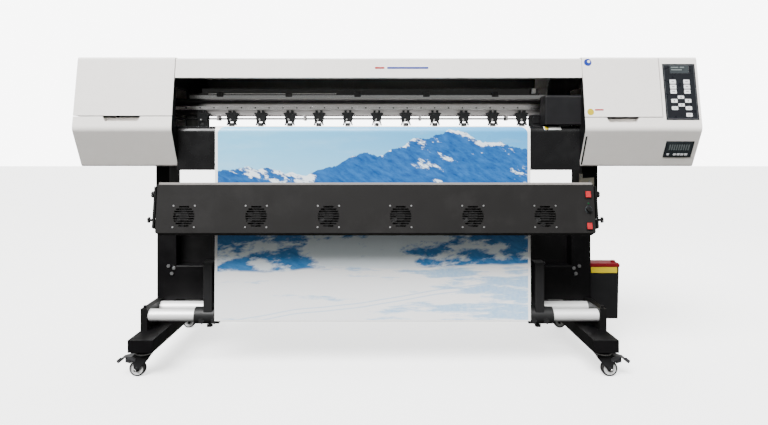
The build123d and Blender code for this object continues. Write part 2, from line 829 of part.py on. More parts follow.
with BuildPart() as ink_tube_tray:
    tray_x = (zone_left + 1, zone_right - 130)
    block(tray_x, (beam_y[0] + 8, beam_y[1] + 2), (beam_z[1] + 16, beam_z[1] + 18))
    block(tray_x, (beam_y[1], beam_y[1] + 2), (beam_z[1] + 18, 1226))
    block(tray_x, (beam_y[0] + 8, beam_y[0] + 10), (beam_z[1] + 18, beam_z[1] + 24))
    # Flat bundle of ink tubes lying in the tray
    block((tray_x[0] + 60, tray_x[1] - 4), (beam_y[0] + 12, beam_y[0] + 52), (beam_z[1] + 19, 1175))
ink_tube_tray.part.label = "ink_tube_tray"
export_step(ink_tube_tray.part, "parts/ink_tube_tray.step")

# ---------------------------------------------------------------- print carriage
with BuildPart() as print_carriage:
    block(carriage_x, carriage_y, carriage_z)
    fillet(edges().filter_by(Axis.X).sort_by(Axis.Z)[-2:], radius=10)
    fillet(edges().filter_by(Axis.Z), radius=6)
    slide_x = (carriage_x[0] + 47, carriage_x[1] - 47)
    block(slide_x, (carriage_y[1], -116), (1104, carriage_z[1]))
    # Slider block that wraps the rail from the front
    block(slide_x, (-118, -92), (1079, 1104))
    block(
        (slide_x[0] - 1, slide_x[1] + 1),
        (beam_y[0] - rail_section - 0.3, beam_y[0]),
        (rail_z[0] - 0.3, rail_z[1] + 0.3),
        mode=Mode.SUBTRACT,
    )
    # Print heads under the carriage
    for x in (carriage_x[0] + 187, carriage_x[0] + 232):
        block((x - 16, x + 16), (-200, -150), (head_bottom_z, carriage_z[0]))
print_carriage.part.label = "print_carriage"
export_step(print_carriage.part, "parts/print_carriage.step")

with BuildPart() as capping_station:
    station_x = (carriage_x[0] + 162, carriage_x[1] - 3)
    block(station_x, (-212, -140), (base_top_z, 990))
    for x in (carriage_x[0] + 187, carriage_x[0] + 232):
        block((x - 15, x + 15), (-204, -146), (990, head_bottom_z - 0.6))
        block((x - 12, x + 12), (-200, -150), (head_bottom_z - 4, head_bottom_z), mode=Mode.SUBTRACT)
capping_station.part.label = "capping_station"
export_step(capping_station.part, "parts/capping_station.step")

# ---------------------------------------------------------------- media feed
with BuildPart() as feed_roller:
    rod((zone_left - 12, zone_right + 18), (feed_y, feed_z), feed_shaft_radius)
    for x in pinch_x:
        rod((x - 20, x + 20), (feed_y, feed_z), feed_radius)
    rod((zone_right + 6, zone_right + 16), (feed_y, feed_z), 12.5)
feed_roller.part.label = "feed_roller"
export_step(feed_roller.part, "parts/feed_roller.step")

with BuildPart() as pinch_arms:
    shaft_x = (machine_left + 105, pinch_x[-1] + 30)
    rod(shaft_x, (pinch_shaft_y, pinch_shaft_z), pinch_shaft_radius)
    # Lift lever inside the left cover
    prism(
        (shaft_x[0], shaft_x[0] + 6),
        [(-118, pinch_shaft_z - 8), (-102, pinch_shaft_z - 8), (-120, pinch_shaft_z + 84), (-134, pinch_shaft_z + 84)],
    )
    for x in pinch_x:
        # Housing that narrows downwards, with a pointed ear on each shoulder
        housing = [
            (x - 17, 1029),
            (x - 22, 1057),
            (x - 28, 1065),
            (x - 18, 1067),
            (x + 18, 1067),
            (x + 28, 1065),
            (x + 22, 1057),
            (x + 17, 1029),
        ]
        cross_prism((-132, -97), housing)
        for bump_x in (x - 10, x + 10):
            block((bump_x - 4.5, bump_x + 4.5), (-130, -104), (1066, 1076.5))
        prism((x - 11, x - 8), [(-132, 1030), (-112, 1030), (-114, 1008.5), (-130, 1008.5)])
        prism((x + 8, x + 11), [(-132, 1030), (-112, 1030), (-114, 1008.5), (-130, 1008.5)])
        rod((x - 11, x + 11), (feed_y, pinch_wheel_z), 2)
        # Splayed feet on both sides of the wheel
        for side in (-1, 1):
            foot = [(x + side * 11, 1030), (x + side * 17, 1030), (x + side * 22, 1012), (x + side * 16, 1012)]
            cross_prism((-129, -117), foot)
pinch_arms.part.label = "pinch_arms"
export_step(pinch_arms.part, "parts/pinch_arms.step")

with BuildPart() as pinch_wheels:
    for x in pinch_x:
        half = pinch_wheel_width / 2
        rod((x - half, x + half), (feed_y, pinch_wheel_z), pinch_wheel_radius)
        rod((x - half, x + half), (feed_y, pinch_wheel_z), 2 + running_clearance, mode=Mode.SUBTRACT)
pinch_wheels.part.label = "pinch_wheels"
export_step(pinch_wheels.part, "parts/pinch_wheels.step")

# Printed sheet: flat on the platen, over the apron's bend, then hanging in front of the rollers
with BuildPart() as printed_sheet:
    low = platen_z + media_gap
    high = low + media_thickness
    inner_r = low - (apron_top_z - apron_radius)
    outer_r = inner_r + media_thickness
    bend_z = apron_top_z - apron_radius
    back_y = -20.0
    inner_y = platen_front_y - inner_r
    outer_y = platen_front_y - outer_r
    swing = 8.0
    with BuildSketch(Plane.YZ.offset(media_centre_x - media_width / 2)):
        with BuildLine():
            Line((back_y, low), (platen_front_y, low))
            RadiusArc((platen_front_y, low), (inner_y, bend_z), -inner_r)
            Line((inner_y, bend_z), (inner_y, apron_bottom_z))
            Line((inner_y, apron_bottom_z), (inner_y - swing, media_bottom_z))
            Line((inner_y - swing, media_bottom_z), (outer_y - swing, media_bottom_z))
            Line((outer_y - swing, media_bottom_z), (outer_y, apron_bottom_z))
            Line((outer_y, apron_bottom_z), (outer_y, bend_z))
            RadiusArc((outer_y, bend_z), (platen_front_y, high), outer_r)
            Line((platen_front_y, high), (back_y, high))
            Line((back_y, high), (back_y, low))
        make_face()
    extrude(amount=media_width)
printed_sheet.part.label = "printed_sheet"
export_step(printed_sheet.part, "parts/printed_sheet.step")

# ---------------------------------------------------------------- covers and lids
with BuildPart() as left_end_cover:
    cover_ring((machine_left, zone_left))
    cover_plate((machine_left, machine_left + cover_wall))
    prism((machine_left - 1, zone_left + 1), lid_outline(left_lid_z, lid_gap), mode=Mode.SUBTRACT)
    finger_notch(-1074, 154, 131, left_lid_z)
    base_clearance()
left_end_cover.part.label = "left_end_cover"
export_step(left_end_cover.part, "parts/left_end_cover.step")

with BuildPart() as right_end_cover:
    cover_ring((zone_right, machine_right))
    cover_plate((machine_right - cover_wall, machine_right))
    cover_plate((control_left, control_left + cover_wall))
    prism((zone_right - 1, control_left), lid_outline(right_lid_z, lid_gap), mode=Mode.SUBTRACT)
    finger_notch(952.5, 133, 111, right_lid_z)
    base_clearance()
    # Slot down the lower face, next to the print zone
    with BuildSketch(lower_plane.offset(1)):
        with Locations((zone_right + 9, -100)):
            Rectangle(8, 134)
    extrude(amount=-cover_wall - 2, mode=Mode.SUBTRACT)
right_end_cover.part.label = "right_end_cover"
export_step(right_end_cover.part, "parts/right_end_cover.step")

with BuildPart() as left_lid:
    cover_ring((machine_left, zone_left))
    cover_plate((machine_left, machine_left + cover_wall))
    prism((machine_left - 1, zone_left + 1), lid_outline(left_lid_z), mode=Mode.INTERSECT)
left_lid.part.label = "left_lid"
export_step(left_lid.part, "parts/left_lid.step")

with BuildPart() as right_lid:
    cover_ring((zone_right, control_left - lid_gap))
    prism((zone_right - 1, control_left + 1), lid_outline(right_lid_z), mode=Mode.INTERSECT)
right_lid.part.label = "right_lid"
export_step(right_lid.part, "parts/right_lid.step")

fascia_inset = 4.0
fascia_bottom_z = 1202.0
between_x = (zone_left + 1, zone_right - 1)
with BuildPart() as top_cover:
    cover_ring(between_x, inset=fascia_inset)
    prism(
        (between_x[0] - 1, between_x[1] + 1),
        [(-400, fascia_bottom_z), (cover_back_y - top_back_chamfer, fascia_bottom_z),
         (cover_back_y - top_back_chamfer, 1400), (-400, 1400)],
        mode=Mode.INTERSECT,
    )
    block(between_x, (-249, -225), (fascia_bottom_z, fascia_bottom_z + cover_wall))
top_cover.part.label = "top_cover"
export_step(top_cover.part, "parts/top_cover.step")

with BuildPart() as rear_cover:
    cover_ring(between_x, inset=fascia_inset)
    prism(
        (between_x[0] - 1, between_x[1] + 1),
        [(cover_back_y - top_back_chamfer + fit_gap, 1080), (400, 1080), (400, 1400),
         (cover_back_y - top_back_chamfer + fit_gap, 1400)],
        mode=Mode.INTERSECT,
    )
rear_cover.part.label = "rear_cover"
export_step(rear_cover.part, "parts/rear_cover.step")

# Keypad overlay with embossed keys, its display window, and the display on the lower face
panel_x = control_left + 77.5
key_columns = (-29.0, -1.0, 27.0)
key_rows = (
    (0, 1184, 19), (2, 1184, 19), (0, 1163.5, 19), (2, 1163.5, 19), (0, 1143, 19), (2, 1143, 19),
    (1, 1120, 15), (0, 1105, 17), (2, 1105, 17), (1, 1088, 15), (0, 1075, 17), (2, 1075, 17),
    (2, 1047.5, 17),
)
with BuildPart() as control_panel:
    with BuildSketch(front_plane):
        with Locations((panel_x, (1143 - cover_crease[1]) * front_slope)):
            Rectangle(133, 235)
        with Locations((panel_x + 2, (1236.3 - cover_crease[1]) * front_slope)):
            Rectangle(80, 37, mode=Mode.SUBTRACT)
    extrude(amount=1.2)
    with BuildSketch(front_plane.offset(1.2)):
        for column, z, height in key_rows:
            with Locations((panel_x + key_columns[column], (z - cover_crease[1]) * front_slope)):
                RectangleRounded(27, height, 2.5)
    extrude(amount=0.8)
    with BuildSketch(front_plane):
        with Locations((panel_x + 2, (1236.3 - cover_crease[1]) * front_slope)):
            Rectangle(79, 36)
    extrude(amount=0.8)
    with BuildSketch(lower_plane):
        with Locations((panel_x, (910 - cover_crease[1]) * lower_slope)):
            Rectangle(114, 72)
    extrude(amount=2.5)
control_panel.part.label = "control_panel"
export_step(control_panel.part, "parts/control_panel.step")

# ---------------------------------------------------------------- fan dryer
with BuildPart() as dryer_case:
    level_rise = dryer_depth * sin(radians(dryer_lean)) / cos(radians(dryer_lean))
    corners = ((9, 0), (dryer_height, 0), (dryer_height + level_rise, dryer_depth), (0, dryer_depth), (0, 9))
    prism((dryer_left, dryer_right), [behind_dryer_face(up, back) for up, back in corners])
    top_front_edge = edges().filter_by(Axis.X).sort_by(lambda e: e.center().Z - e.center().Y)[-1]
    fillet(top_front_edge, radius=2.5)
    # Lower corners cut off at both ends
    with BuildSketch(dryer_plane.offset(1)):
        for side in (-1, 1):
            end = side * dryer_length / 2
            with BuildLine():
                Polyline(
                    (end - side * 14, -1),
                    (end + side, -1),
                    (end + side, 12),
                    (end, 12),
                    (end - side * 14, 0),
                    close=True,
                )
            make_face()
    extrude(amount=-dryer_depth - 2, mode=Mode.SUBTRACT)
    inner_length = dryer_length - 2 * dryer_wall
    inner_height = dryer_height - 20
    with BuildSketch(dryer_plane.offset(-dryer_depth + dryer_wall)):
        with Locations((0, 15 + inner_height / 2)):
            Rectangle(inner_length, inner_height)
    extrude(amount=dryer_depth - 2 * dryer_wall, mode=Mode.SUBTRACT)
    # Fan grilles: slots shortened to a round outline, and air outlets in the back
    with BuildSketch(dryer_plane.offset(1)):
        for x in fan_x:
            for index in range(slot_count):
                rise = (index - (slot_count - 1) / 2) * slot_pitch
                half_chord = (grille_radius**2 - rise**2) ** 0.5
                with Locations((x - dryer_centre_x, fan_height + rise)):
                    SlotOverall(2 * half_chord, slot_width)
    extrude(amount=-dryer_wall - 1.5, mode=Mode.SUBTRACT)
    with BuildSketch(dryer_plane.offset(-dryer_depth - 1)):
        for x in fan_x:
            with Locations((x - dryer_centre_x, fan_height + 72)):
                SlotOverall(180, 30)
    extrude(amount=dryer_wall + 2, mode=Mode.SUBTRACT)
    # Holes for the two rocker switches, the speed knob and the four clamp knobs
    with BuildSketch(dryer_plane.offset(1)):
        for z in (733, 612):
            with Locations((switch_x - dryer_centre_x, (z - dryer_bottom_front[1]) / cos(radians(dryer_lean)))):
                Rectangle(20.6, 26.2)
        with Locations((switch_x - dryer_centre_x, (675 - dryer_bottom_front[1]) / cos(radians(dryer_lean)))):
            Circle(3 + running_clearance)
    extrude(amount=-15, mode=Mode.SUBTRACT)
    for centre in (dryer_pivot, lower_knob):
        rod((dryer_left - 1, dryer_left + 4), centre, knob_shank_radius + running_clearance, mode=Mode.SUBTRACT)
        rod((dryer_right - 4, dryer_right + 1), centre, knob_shank_radius + running_clearance, mode=Mode.SUBTRACT)
dryer_case.part.label = "dryer_case"
export_step(dryer_case.part, "parts/dryer_case.step")

fan_front = -dryer_wall - 0.3
with BuildPart() as fan_frames:
    for x in fan_x:
        with BuildSketch(dryer_plane.offset(fan_front - fan_depth)):
            with Locations((x - dryer_centre_x, fan_height)):
                RectangleRounded(fan_size, fan_size, 5)
                Circle(43.5, mode=Mode.SUBTRACT)
        extrude(amount=fan_depth)
        with BuildSketch(dryer_plane.offset(fan_front - fan_depth)):
            with Locations((x - dryer_centre_x, fan_height)):
                Circle(18)
                Rectangle(90, 5)
                Rectangle(5, 90)
        extrude(amount=4)
        with BuildSketch(dryer_plane.offset(fan_front - fan_depth - 1)):
            with Locations((x - dryer_centre_x, fan_height)):
                Circle(2 + running_clearance)
        extrude(amount=8, mode=Mode.SUBTRACT)
    # Countersunk screws through the case's front
    with BuildSketch(dryer_plane):
        for x in fan_x:
            with Locations((x - dryer_centre_x, fan_height)):
                with GridLocations(fan_hole_pitch, fan_hole_pitch, 2, 2):
                    Circle(3.4)
    extrude(amount=1.2)
fan_frames.part.label = "fan_frames"
export_step(fan_frames.part, "parts/fan_frames.step")

for index, x in enumerate(fan_x):
    with BuildPart() as fan_rotor:
        with BuildSketch(dryer_plane.offset(fan_front - fan_depth + 5)):
            with Locations((x - dryer_centre_x, fan_height)):
                Circle(18)
        extrude(amount=fan_depth - 7)
        with BuildSketch(dryer_plane.offset(fan_front - fan_depth + 1)):
            with Locations((x - dryer_centre_x, fan_height)):
                Circle(2)
        extrude(amount=6)
        for blade in range(7):
            turn = blade * 360 / 7
            with Locations(
                dryer_plane.offset(fan_front - fan_depth / 2 + 1.5)
                * Location((x - dryer_centre_x, fan_height, 0), (0, 0, turn))
            ):
                with Locations((29, 0, 0)):
                    Box(25, 20, 2, rotation=(35, 0, 0))
    name = f"fan_rotor_{index + 1}"
    fan_rotor.part.label = name
    export_step(fan_rotor.part, f"parts/{name}.step")

# Rocker switches rest with their upper end pushed in
for name, z in (("upper_rocker_switch", 733), ("lower_rocker_switch", 612)):
    up = (z - dryer_bottom_front[1]) / cos(radians(dryer_lean))
    with BuildPart() as rocker_switch:
        with Locations(dryer_plane * Location((switch_x - dryer_centre_x, up, 0), (-8, 0, 0))):
            Box(19.6, 24, 9)
    rocker_switch.part.label = name
    export_step(rocker_switch.part, f"parts/{name}.step")

with BuildPart() as fan_speed_knob:
    up = (675 - dryer_bottom_front[1]) / cos(radians(dryer_lean))
    with BuildSketch(dryer_plane.offset(0.4)):
        with Locations((switch_x - dryer_centre_x, up)):
            Circle(9)
    extrude(amount=12, taper=4)
    with BuildSketch(dryer_plane.offset(-8)):
        with Locations((switch_x - dryer_centre_x, up)):
            Circle(3)
    extrude(amount=9)
    with BuildSketch(dryer_plane.offset(11)):
        with Locations((switch_x - dryer_centre_x, up + 5)):
            Rectangle(1.6, 6)
    extrude(amount=2, mode=Mode.SUBTRACT)
fan_speed_knob.part.label = "fan_speed_knob"
export_step(fan_speed_knob.part, "parts/fan_speed_knob.step")

with BuildPart() as dryer_brackets:
    for inner_x, outer_x, spacer in (
        (bracket_left_x, bracket_left_x + bracket_thickness, (leg_inner_left, bracket_left_x)),
        (bracket_right_x, bracket_right_x + bracket_thickness, (bracket_right_x + bracket_thickness, leg_inner_right)),
    ):
        prism(
            (inner_x, outer_x),
            [(-350, 762), (-376, 604), (-352, 596), (-320, 640), (70, 640), (70, 688), (-250, 688), (-310, 762)],
        )
        block(spacer, (-25, 65), (645, 685))
        rod((inner_x - 1, outer_x + 1), dryer_pivot, knob_hole_radius, mode=Mode.SUBTRACT)
        # Slot for the lower clamp knob, about the tilt pivot
        for step in range(-4, 17, 1):
            angle = radians(step) - radians(dryer_lean)
            centre = (
                dryer_pivot[0] + dryer_knob_spacing * sin(angle),
                dryer_pivot[1] - dryer_knob_spacing * cos(angle),
            )
            rod((inner_x - 1, outer_x + 1), centre, knob_hole_radius, mode=Mode.SUBTRACT)
dryer_brackets.part.label = "dryer_brackets"
export_step(dryer_brackets.part, "parts/dryer_brackets.step")

for side_name, outward, plate_face, case_end in (
    ("left", -1, bracket_left_x, dryer_left),
    ("right", 1, bracket_right_x + bracket_thickness, dryer_right),
):
    for level_name, centre, reach, lobe_radius in (
        ("upper", dryer_pivot, 12, 13),
        ("lower", lower_knob, 22, 12),
    ):
        face = plate_face + outward * 0.4
        tip = face + outward * reach
        with BuildPart() as dryer_knob:
            rod(sorted((case_end - outward * 3, face)), centre, knob_shank_radius)
            rod(sorted((face, face + outward * 4)), centre, 9)
            rod(sorted((face, tip)), centre, 5)
            with BuildSketch(Plane.YZ.offset(min(tip, tip - outward * 7))):
                with Locations(centre):
                    Circle(8)
                    with PolarLocations(8, 5):
                        Circle(lobe_radius - 8)
            extrude(amount=7)
        name = f"dryer_knob_{level_name}_{side_name}"
        dryer_knob.part.label = name
        export_step(dryer_knob.part, f"parts/{name}.step")
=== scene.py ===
"""Looks, lights and camera for the wide-format printer.

Metres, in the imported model's frame: +X to the operator's right, -Y towards the operator, +Z up.
Every mesh is written in that frame and its object stays at the origin, so Object texture
coordinates are the same metres everywhere.
"""

import math

import bmesh
import bpy
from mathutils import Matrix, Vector


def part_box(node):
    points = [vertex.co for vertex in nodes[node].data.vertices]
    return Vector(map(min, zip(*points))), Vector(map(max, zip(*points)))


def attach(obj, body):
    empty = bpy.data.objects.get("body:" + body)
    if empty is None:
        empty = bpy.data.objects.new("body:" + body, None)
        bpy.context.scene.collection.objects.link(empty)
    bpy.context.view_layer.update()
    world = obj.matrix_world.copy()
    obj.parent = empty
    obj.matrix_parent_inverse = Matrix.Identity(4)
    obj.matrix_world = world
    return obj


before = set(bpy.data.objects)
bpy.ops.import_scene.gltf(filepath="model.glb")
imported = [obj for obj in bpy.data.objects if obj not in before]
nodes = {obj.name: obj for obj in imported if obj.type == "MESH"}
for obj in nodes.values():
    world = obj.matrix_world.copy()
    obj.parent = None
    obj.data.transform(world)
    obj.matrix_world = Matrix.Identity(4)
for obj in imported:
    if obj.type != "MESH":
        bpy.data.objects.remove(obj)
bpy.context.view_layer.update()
SCENE = bpy.context.scene


# ------------------------------------------------------------------ material nodes
class Paint:
    """A node material under construction; each call returns a socket to feed to the next."""

    def __init__(self, name, colour=(0.5, 0.5, 0.5), rough=0.5, metal=0.0, **fixed):
        self.material = bpy.data.materials.new(name)
        self.material.use_nodes = True
        self.tree = self.material.node_tree
        self.shader = self.tree.nodes["Principled BSDF"]
        self.shader.inputs["Base Color"].default_value = (*colour, 1)
        self.shader.inputs["Roughness"].default_value = rough
        self.shader.inputs["Metallic"].default_value = metal
        for key, value in fixed.items():
            self.shader.inputs[key.replace("_", " ")].default_value = value
        self.position = self.add("ShaderNodeTexCoord").outputs["Object"]

    def add(self, kind, **settings):
        node = self.tree.nodes.new(kind)
        for key, value in settings.items():
            setattr(node, key, value)
        return node

    def put(self, value, socket):
        """Links a socket, or writes a plain value, into an input."""
        if isinstance(value, bpy.types.NodeSocket):
            self.tree.links.new(value, socket)
        elif isinstance(
            value,
            (tuple, list),
        ) and len(socket.default_value) == 4 and len(value) == 3:
            socket.default_value = (*value, 1)
        else:
            socket.default_value = value

    def math(self, operation, a, b=0.0, c=0.0, clamp=False):
        node = self.add("ShaderNodeMath", operation=operation, use_clamp=clamp)
        for value, socket in zip((a, b, c), node.inputs):
            self.put(value, socket)
        return node.outputs[0]

    def scaled(self, x=1.0, y=1.0, z=1.0, source=None):
        node = self.add("ShaderNodeMapping")
        self.put(source or self.position, node.inputs["Vector"])
        node.inputs["Scale"].default_value = (x, y, z)
        return node.outputs[0]

    def noise(self, scale, detail=2.0, rough=0.5, vector=None):
        node = self.add("ShaderNodeTexNoise")
        self.put(vector or self.position, node.inputs["Vector"])
        node.inputs["Scale"].default_value = scale
        node.inputs["Detail"].default_value = detail
        node.inputs["Roughness"].default_value = rough
        return node.outputs["Fac"]

    def cells(self, scale, vector=None):
        node = self.add("ShaderNodeTexVoronoi")
        self.put(vector or self.position, node.inputs["Vector"])
        node.inputs["Scale"].default_value = scale
        return node.outputs["Distance"]

    def spread(self, value, low, high, to_low=0.0, to_high=1.0, smooth=False):
        node = self.add(
            "ShaderNodeMapRange",
            interpolation_type="SMOOTHSTEP" if smooth else "LINEAR",
        )
        self.put(value, node.inputs["Value"])
        for key, number in zip(
            ("From Min", "From Max", "To Min", "To Max"),
            (low, high, to_low, to_high),
        ):
            self.put(number, node.inputs[key])
        return node.outputs[0]

    def mix(self, factor, a, b, blend="MIX"):
        node = self.add("ShaderNodeMix", data_type="RGBA", blend_type=blend)
        self.put(factor, node.inputs[0])
        self.put(a, node.inputs[6])
        self.put(b, node.inputs[7])
        return node.outputs[2]

    def axes(self, source=None):
        node = self.add("ShaderNodeSeparateXYZ")
        self.put(source or self.position, node.inputs[0])
        return node.outputs[0], node.outputs[1], node.outputs[2]

    def point(self, x, y=0.0, z=0.0):
        node = self.add("ShaderNodeCombineXYZ")
        for value, socket in zip((x, y, z), node.inputs):
            self.put(value, socket)
        return node.outputs[0]

    def along(self, direction, origin):
        """Distance from a point along a direction."""
        shift = self.add("ShaderNodeVectorMath", operation="SUBTRACT")
        self.put(self.position, shift.inputs[0])
        shift.inputs[1].default_value = origin
        node = self.add("ShaderNodeVectorMath", operation="DOT_PRODUCT")
        self.put(shift.outputs[0], node.inputs[0])
        node.inputs[1].default_value = direction
        return node.outputs["Value"]

    def radius(self, a, b, centre):
        """Distance from a centre in the plane of two coordinates."""
        da = self.math("SUBTRACT", a, centre[0])
        db = self.math("SUBTRACT", b, centre[1])
        return self.math(
            "SQRT",
            self.math("ADD", self.math("POWER", da, 2.0), self.math("POWER", db, 2.0)),
        )

    def colour(self, value):
        self.put(value, self.shader.inputs["Base Color"])

    def rough(self, value):
        self.put(value, self.shader.inputs["Roughness"])

    def metal(self, value):
        self.put(value, self.shader.inputs["Metallic"])

    def bump(self, height, distance=0.0004, strength=1.0, edge=0.0):
        """Surface relief, and optionally softened edges of that radius."""
        node = self.add("ShaderNodeBump")
        node.inputs["Strength"].default_value = strength
        node.inputs["Distance"].default_value = distance
        self.put(height, node.inputs["Height"])
        if edge:
            soft = self.add("ShaderNodeBevel", samples=4)
            soft.inputs["Radius"].default_value = edge
            self.put(soft.outputs[0], node.inputs["Normal"])
        self.put(node.outputs[0], self.shader.inputs["Normal"])
        return self.material


def cover_paint(name, colour=(0.885, 0.850, 0.815)):
    """Cream structural-foam cover: fine orange peel, faint mottling, a warmer, slightly darker tint in noisy patches
    towards the bottom, and rubbed patches.
    """
    p = Paint(name, colour, 0.42, Specular_IOR_Level=0.42, Coat_Weight=0.08, Coat_Roughness=0.35)
    mottle = p.spread(p.noise(2.2, 4, 0.6), 0.3, 0.7, 0.965, 1.02)
    fine = p.spread(p.noise(38, 3), 0.3, 0.7, 0.99, 1.01)
    tint = p.math("MULTIPLY", mottle, fine)
    _, _, z = p.axes()
    warm = tuple(c * k for c, k in zip(colour, (0.93, 0.91, 0.86)))
    # Warmer and slightly darker in noisy patches towards the bottom, from z 1.02 m down to 0.84 m.
    low = p.spread(z, 1.02, 0.84, 0.0, 0.35, smooth=True)
    low_warm_tint = p.math("MULTIPLY", low, p.spread(p.noise(9, 5, 0.65), 0.35, 0.7))
    base = p.mix(low_warm_tint, colour, warm)
    scratch = p.noise(26, 4, 0.7, p.scaled(0.4, 1.0, 5.0))
    marks = p.spread(scratch, 0.70, 0.76, 0.0, 0.10)
    base = p.mix(marks, base, tuple(c * 0.78 for c in colour))
    shade = p.add("ShaderNodeMix", data_type="RGBA", blend_type="MULTIPLY")
    shade.inputs[0].default_value = 1.0
    p.put(base, shade.inputs[6])
    p.put(p.point(tint, tint, tint), shade.inputs[7])
    p.colour(shade.outputs[2])
    p.rough(p.spread(p.noise(6, 5, 0.6), 0.3, 0.7, 0.36, 0.50))
    peel = p.math("ADD", p.noise(620, 2), p.math("MULTIPLY", p.noise(180, 2), 0.4))
    return p.bump(peel, 0.00012, 0.5, 0.0011)


def powder_coat(
    name,
    colour=(0.014, 0.014, 0.015),
    rough=0.42,
    grain=480,
    relief=0.00022,
    shine=0.16,
):
    """Baked powder coat: leathery grain, slightly greyed on rubbed places."""
    p = Paint(name, colour, rough, Specular_IOR_Level=shine)
    rubbed = p.spread(p.noise(7, 6, 0.7), 0.52, 0.78, 0.0, 0.5)
    lighter = tuple(min(1.0, c * 1.8 + 0.002) for c in colour)
    p.colour(p.mix(rubbed, colour, lighter))
    p.rough(p.spread(p.noise(14, 4), 0.3, 0.7, rough - 0.07, rough + 0.09))
    grain_height = p.math("ADD", p.noise(grain, 3), p.math("MULTIPLY", p.cells(grain * 0.6), 0.5))
    return p.bump(grain_height, relief, 0.6, 0.0012)


def moulded(name, colour, rough=0.45, grain=750, edge=0.0006, shine=0.20):
    """Injection-moulded plastic with spark-eroded texture."""
    p = Paint(name, colour, rough, Specular_IOR_Level=shine)
    p.colour(p.mix(p.spread(p.noise(18, 4), 0.35, 0.7, 0, 0.35), colour, tuple(c * 0.8 + 0.001 for c in colour)))
    p.rough(p.spread(p.noise(40, 3), 0.3, 0.7, rough - 0.06, rough + 0.08))
    return p.bump(p.noise(grain, 3), 0.00012, 0.6, edge)


def drawn_metal(name, colour, rough=0.3, along="x", streak=1.0, edge=0.0005, metal=1.0):
    """Extruded or ground metal with fine lines along one axis."""
    p = Paint(name, colour, rough, metal)
    stretch = {"x": (0.6, 60, 60), "y": (60, 0.6, 60), "z": (60, 60, 0.6)}[along]
    lines = p.noise(9, 5, 0.75, p.scaled(*stretch))
    p.colour(p.mix(p.spread(lines, 0.3, 0.7, 0, 0.5 * streak), colour, tuple(c * 0.78 for c in colour)))
    stains = p.noise(11, 4)
    p.rough(p.math("ADD", p.spread(lines, 0.3, 0.7, rough - 0.08, rough + 0.1), p.spread(stains, 0.5, 0.8, 0, 0.08)))
    return p.bump(lines, 0.00006, 0.5 * streak, edge)


cream = cover_paint("cover_cream")
black_coat = powder_coat("stand_powder_coat", (0.0022, 0.0020, 0.0023))
apron_coat = powder_coat("apron_satin_black", (0.0060, 0.0060, 0.0064), 0.26, 700, 0.0001, 0.30)
dryer_coat = powder_coat("dryer_warm_black", (0.0100, 0.0094, 0.0092), 0.52, 560, 0.00018, 0.14)
plate_coat = powder_coat("side_plate_black", (0.0042, 0.0042, 0.0042), 0.4)
rear_coat = powder_coat("rear_panel_black", (0.0036, 0.0034, 0.0036), 0.42)
frame_coat = powder_coat("frame_black", (0.0045, 0.0045, 0.0046), 0.5)
fork_coat = powder_coat("fork_dark", (0.012, 0.012, 0.0125), 0.34)
beam = Paint("beam_anodised", (0.78, 0.75, 0.75), 0.34, 1.0)
beam_lines = beam.noise(9, 5, 0.75, beam.scaled(0.6, 60, 60))
beam_tone_and_end_shade = beam.mix(
    beam.spread(beam_lines, 0.3, 0.7, 0, 0.5),
    (0.95, 0.91, 0.91),
    (0.62, 0.60, 0.60),
)
# Painted shade: past x = -0.76 m the left end of the beam is darkened to near black, where the side wall shades it.
beam_tone_and_end_shade = beam.mix(
    beam.spread(beam.axes()[0], -0.76, -0.83, 0.0, 0.96, smooth=True),
    beam_tone_and_end_shade,
    (0.012, 0.012, 0.012),
)
beam.colour(beam_tone_and_end_shade)
beam.rough(beam.spread(beam_lines, 0.3, 0.7, 0.26, 0.44))
beam_metal = beam.bump(beam_lines, 0.00006, 0.5, 0.0005)
black_plastic = moulded("black_plastic", (0.008, 0.008, 0.0085), 0.42)
knob_plastic = moulded("knob_black", (0.007, 0.007, 0.007), 0.36)
carriage_plastic = moulded("carriage_black", (0.009, 0.009, 0.010), 0.42)
arm_plastic = moulded("pinch_arm_black", (0.010, 0.0105, 0.011), 0.38)
rubber = moulded("pinch_rubber", (0.020, 0.020, 0.020), 0.7, 420)
belt_rubber = moulded("belt_rubber", (0.018, 0.018, 0.018), 0.65, 500)
guide_plastic = moulded("guide_black", (0.013, 0.013, 0.0135), 0.45)
tank_plastic = moulded("waste_box_black", (0.008, 0.008, 0.0085), 0.38, 520)
pedal_plastic = powder_coat("pedal_dark", (0.030, 0.030, 0.032), 0.34, 420, 0.0001, 0.5)
rail_metal = drawn_metal("rail_ground_steel", (0.96, 0.95, 0.95), 0.24, streak=0.7)
tube_metal = drawn_metal("roller_tube", (0.86, 0.86, 0.86), 0.45, metal=0.35)
platen_metal = drawn_metal("platen_anodised", (0.30, 0.30, 0.31), 0.38, along="y")
bright_zinc = drawn_metal("bright_zinc", (0.75, 0.75, 0.74), 0.28, along="z", streak=0.5)
bolt_metal = drawn_metal("bolt_steel", (0.45, 0.45, 0.46), 0.35, along="y", streak=0.5)
pulley_metal = drawn_metal("pulley_aluminium", (0.75, 0.75, 0.76), 0.28, along="z")


def gloss_black():
    p = Paint("tray_gloss_black", (0.008, 0.008, 0.009), 0.12, Coat_Weight=0.5, Coat_Roughness=0.08)
    smear = p.noise(5, 6, 0.7, p.scaled(0.3, 1, 1.4))
    p.rough(p.spread(smear, 0.35, 0.75, 0.09, 0.30))
    p.colour(p.mix(p.spread(p.noise(30, 3), 0.4, 0.8, 0, 0.5), (0.008, 0.008, 0.009), (0.018, 0.018, 0.020)))
    return p.bump(p.noise(14, 3), 0.0003, 0.25)


